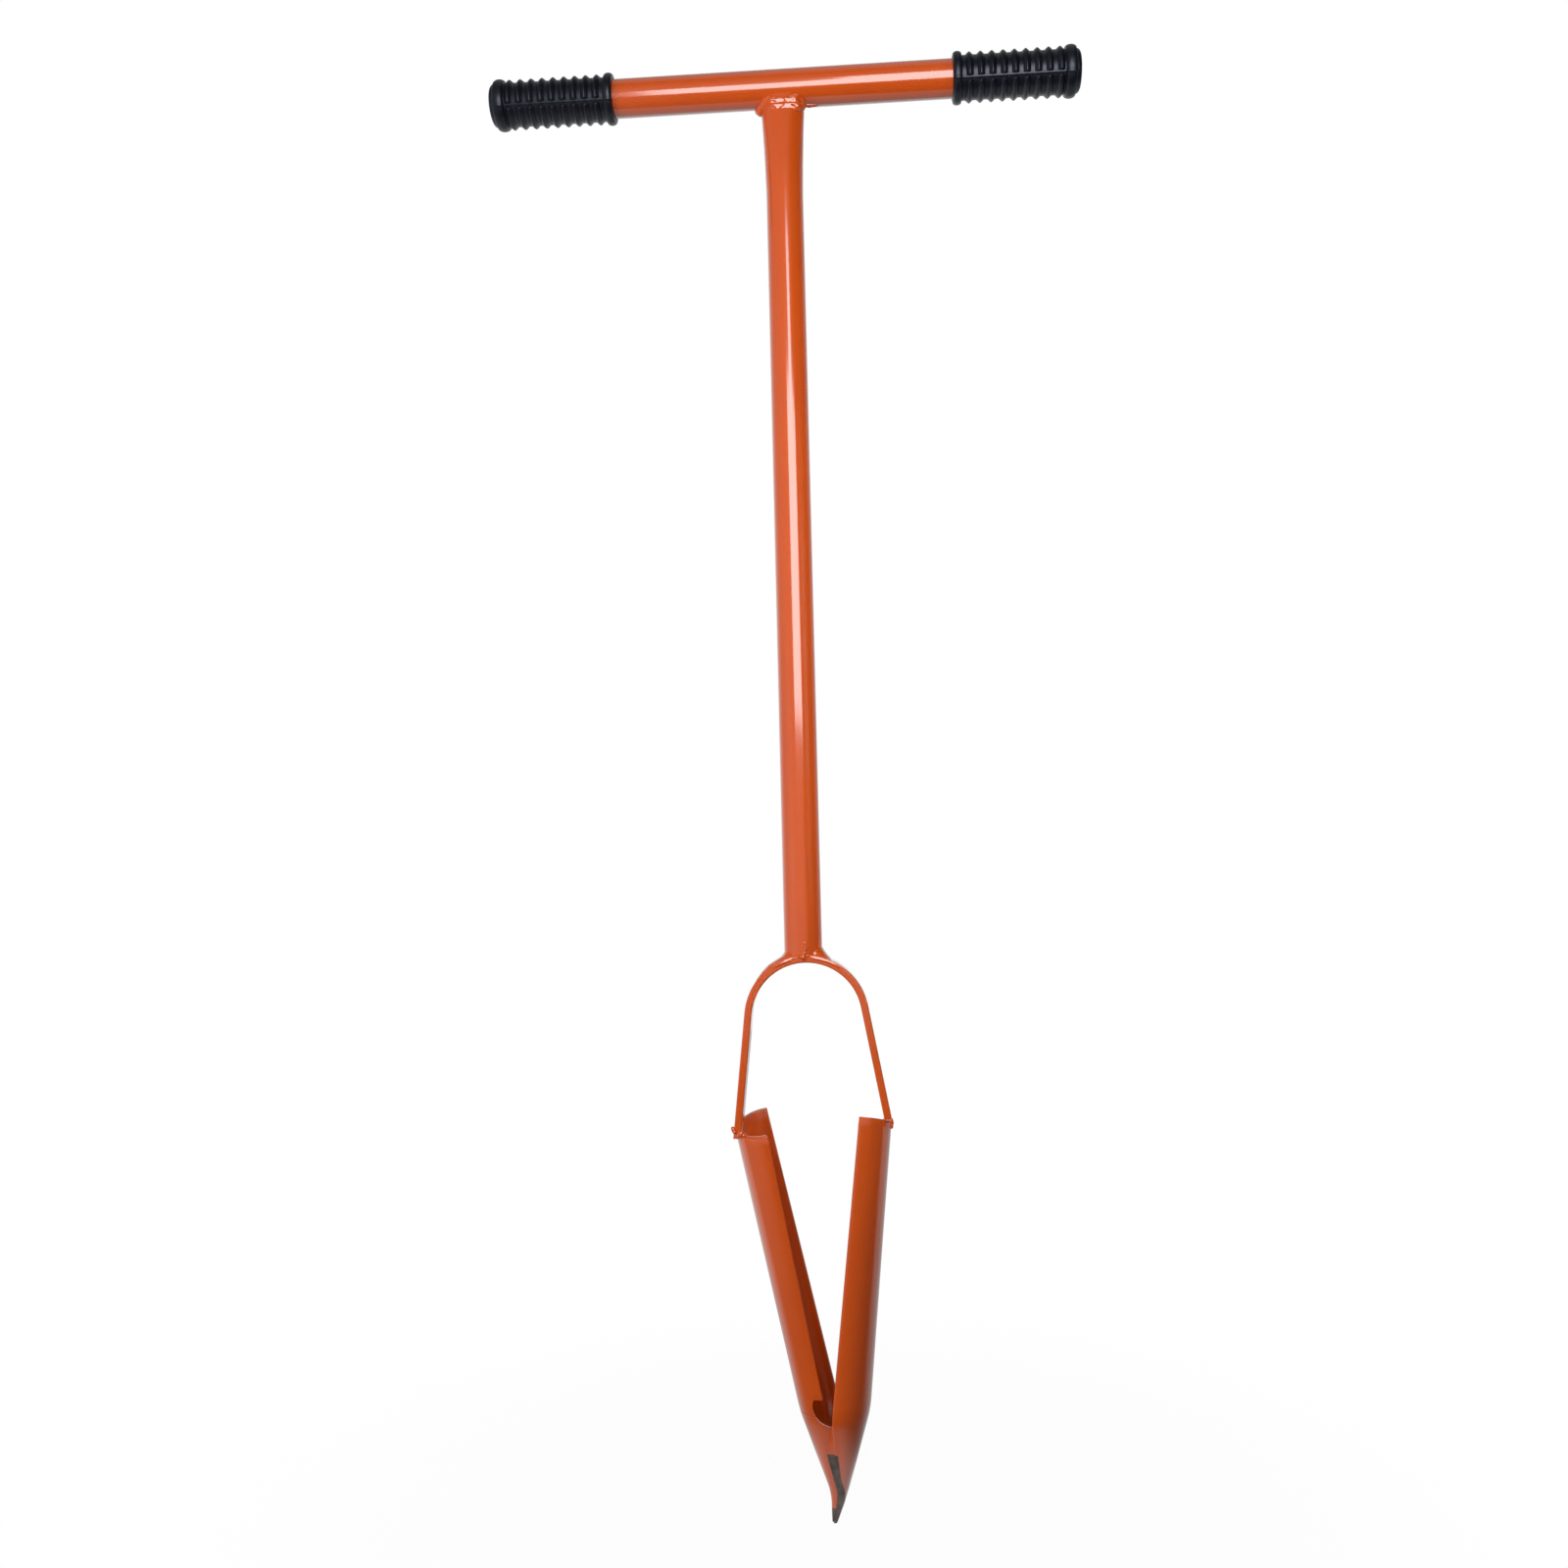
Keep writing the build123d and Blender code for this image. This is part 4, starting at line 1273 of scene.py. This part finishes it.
def add_camera():
    """Camera of the photo, in front of the shaft and a little below its middle."""
    data = bpy.data.cameras.new("photo_camera")
    data.sensor_width = CAMERA_SENSOR
    data.lens = bpy.context.scene.auger_stage.lens
    data.clip_start = CAMERA_NEAR
    camera = add_object("photo_camera", data)
    turn = Matrix((CAMERA_RIGHT, CAMERA_UP, CAMERA_BACK)).transposed().to_4x4()
    camera.matrix_world = Matrix.Translation(CAMERA_PLACE) @ turn
    bpy.context.scene.camera = camera


# Operators

class AUGER_OT_paint(Operator):
    """Paint the tubes and the bow"""

    bl_idname = "auger.paint"
    bl_label = "Paint frame"

    def execute(self, context):
        for name in PAINTED_NODES:
            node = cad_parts[name]
            node.data.materials.clear()
            node.data.materials.append(finish_material(ENAMEL))
        return {"FINISHED"}


class AUGER_OT_grips(Operator):
    """Make the two ribbed rubber grips"""

    bl_idname = "auger.grips"
    bl_label = "Make grips"

    def execute(self, context):
        make_grip("left_grip", -1)
        make_grip("right_grip", 1)
        return {"FINISHED"}


class AUGER_OT_blades(Operator):
    """Make the two pipe blades, their ground lips and the weld metal in their point"""

    bl_idname = "auger.blades"
    bl_label = "Make blades"

    def execute(self, context):
        for name, side in (("left_blade", -1), ("right_blade", 1)):
            make_blade(name, side)
            make_lip(name + "_lip", side)
        make_core("tip_weld")
        return {"FINISHED"}


class AUGER_OT_welds(Operator):
    """Lay the weld runs"""

    bl_idname = "auger.welds"
    bl_label = "Lay welds"

    def execute(self, context):
        make_handle_weld()
        make_bow_weld()
        make_rim_weld("left_blade_weld", -1, LEFT_RIM_RUNS)
        make_rim_weld("right_blade_weld", 1, RIGHT_RIM_RUNS)
        return {"FINISHED"}


class AUGER_OT_stage(Operator):
    """Set the floor, the surround, the lights and the camera"""

    bl_idname = "auger.stage"
    bl_label = "Set stage"

    def execute(self, context):
        stage = context.scene.auger_stage
        context.scene.view_settings.view_transform = "Standard"
        white_world()
        add_floor()
        add_panel("key_softbox", KEY_PANEL, stage.key_power)
        strip = add_panel("key_strip", KEY_STRIP, stage.strip_power)
        fill = add_panel("fill_softbox", FILL_PANEL, stage.fill_power)
        side = add_panel("side_softbox", SIDE_PANEL, stage.side_power)
        side.data.spread = SIDE_SPREAD
        strip.visible_diffuse = fill.visible_glossy = side.visible_glossy = False
        add_camera()
        return {"FINISHED"}


class AUGER_PT_panel(Panel):
    """Auger pieces and settings"""

    bl_idname = "AUGER_PT_panel"
    bl_label = "Hand earth auger"
    bl_space_type = "VIEW_3D"
    bl_region_type = "UI"
    bl_category = "Auger"

    def draw(self, context):
        for operator in OPERATORS:
            self.layout.operator(operator.bl_idname)
        for name, group in SETTINGS:
            box = self.layout.box()
            box.label(text=group.__doc__.strip())
            settings = getattr(context.scene, name)
            for key in group.__annotations__:
                box.prop(settings, key)


OPERATORS = (AUGER_OT_paint, AUGER_OT_grips, AUGER_OT_blades, AUGER_OT_welds, AUGER_OT_stage)


def register():
    """Add the settings, operators and panel to Blender."""
    for name, group in SETTINGS:
        bpy.utils.register_class(group)
        setattr(bpy.types.Scene, name, PointerProperty(type=group))
    for item in (*OPERATORS, AUGER_PT_panel):
        bpy.utils.register_class(item)


def unregister():
    """Take them away again."""
    for item in reversed((*OPERATORS, AUGER_PT_panel)):
        bpy.utils.unregister_class(item)
    for name, group in reversed(SETTINGS):
        delattr(bpy.types.Scene, name)
        bpy.utils.unregister_class(group)


def main():
    """Make every piece and the stage."""
    register()
    for name in ("paint", "grips", "blades", "welds", "stage"):
        getattr(bpy.ops.auger, name)()


if __name__ == "__main__":
    main()
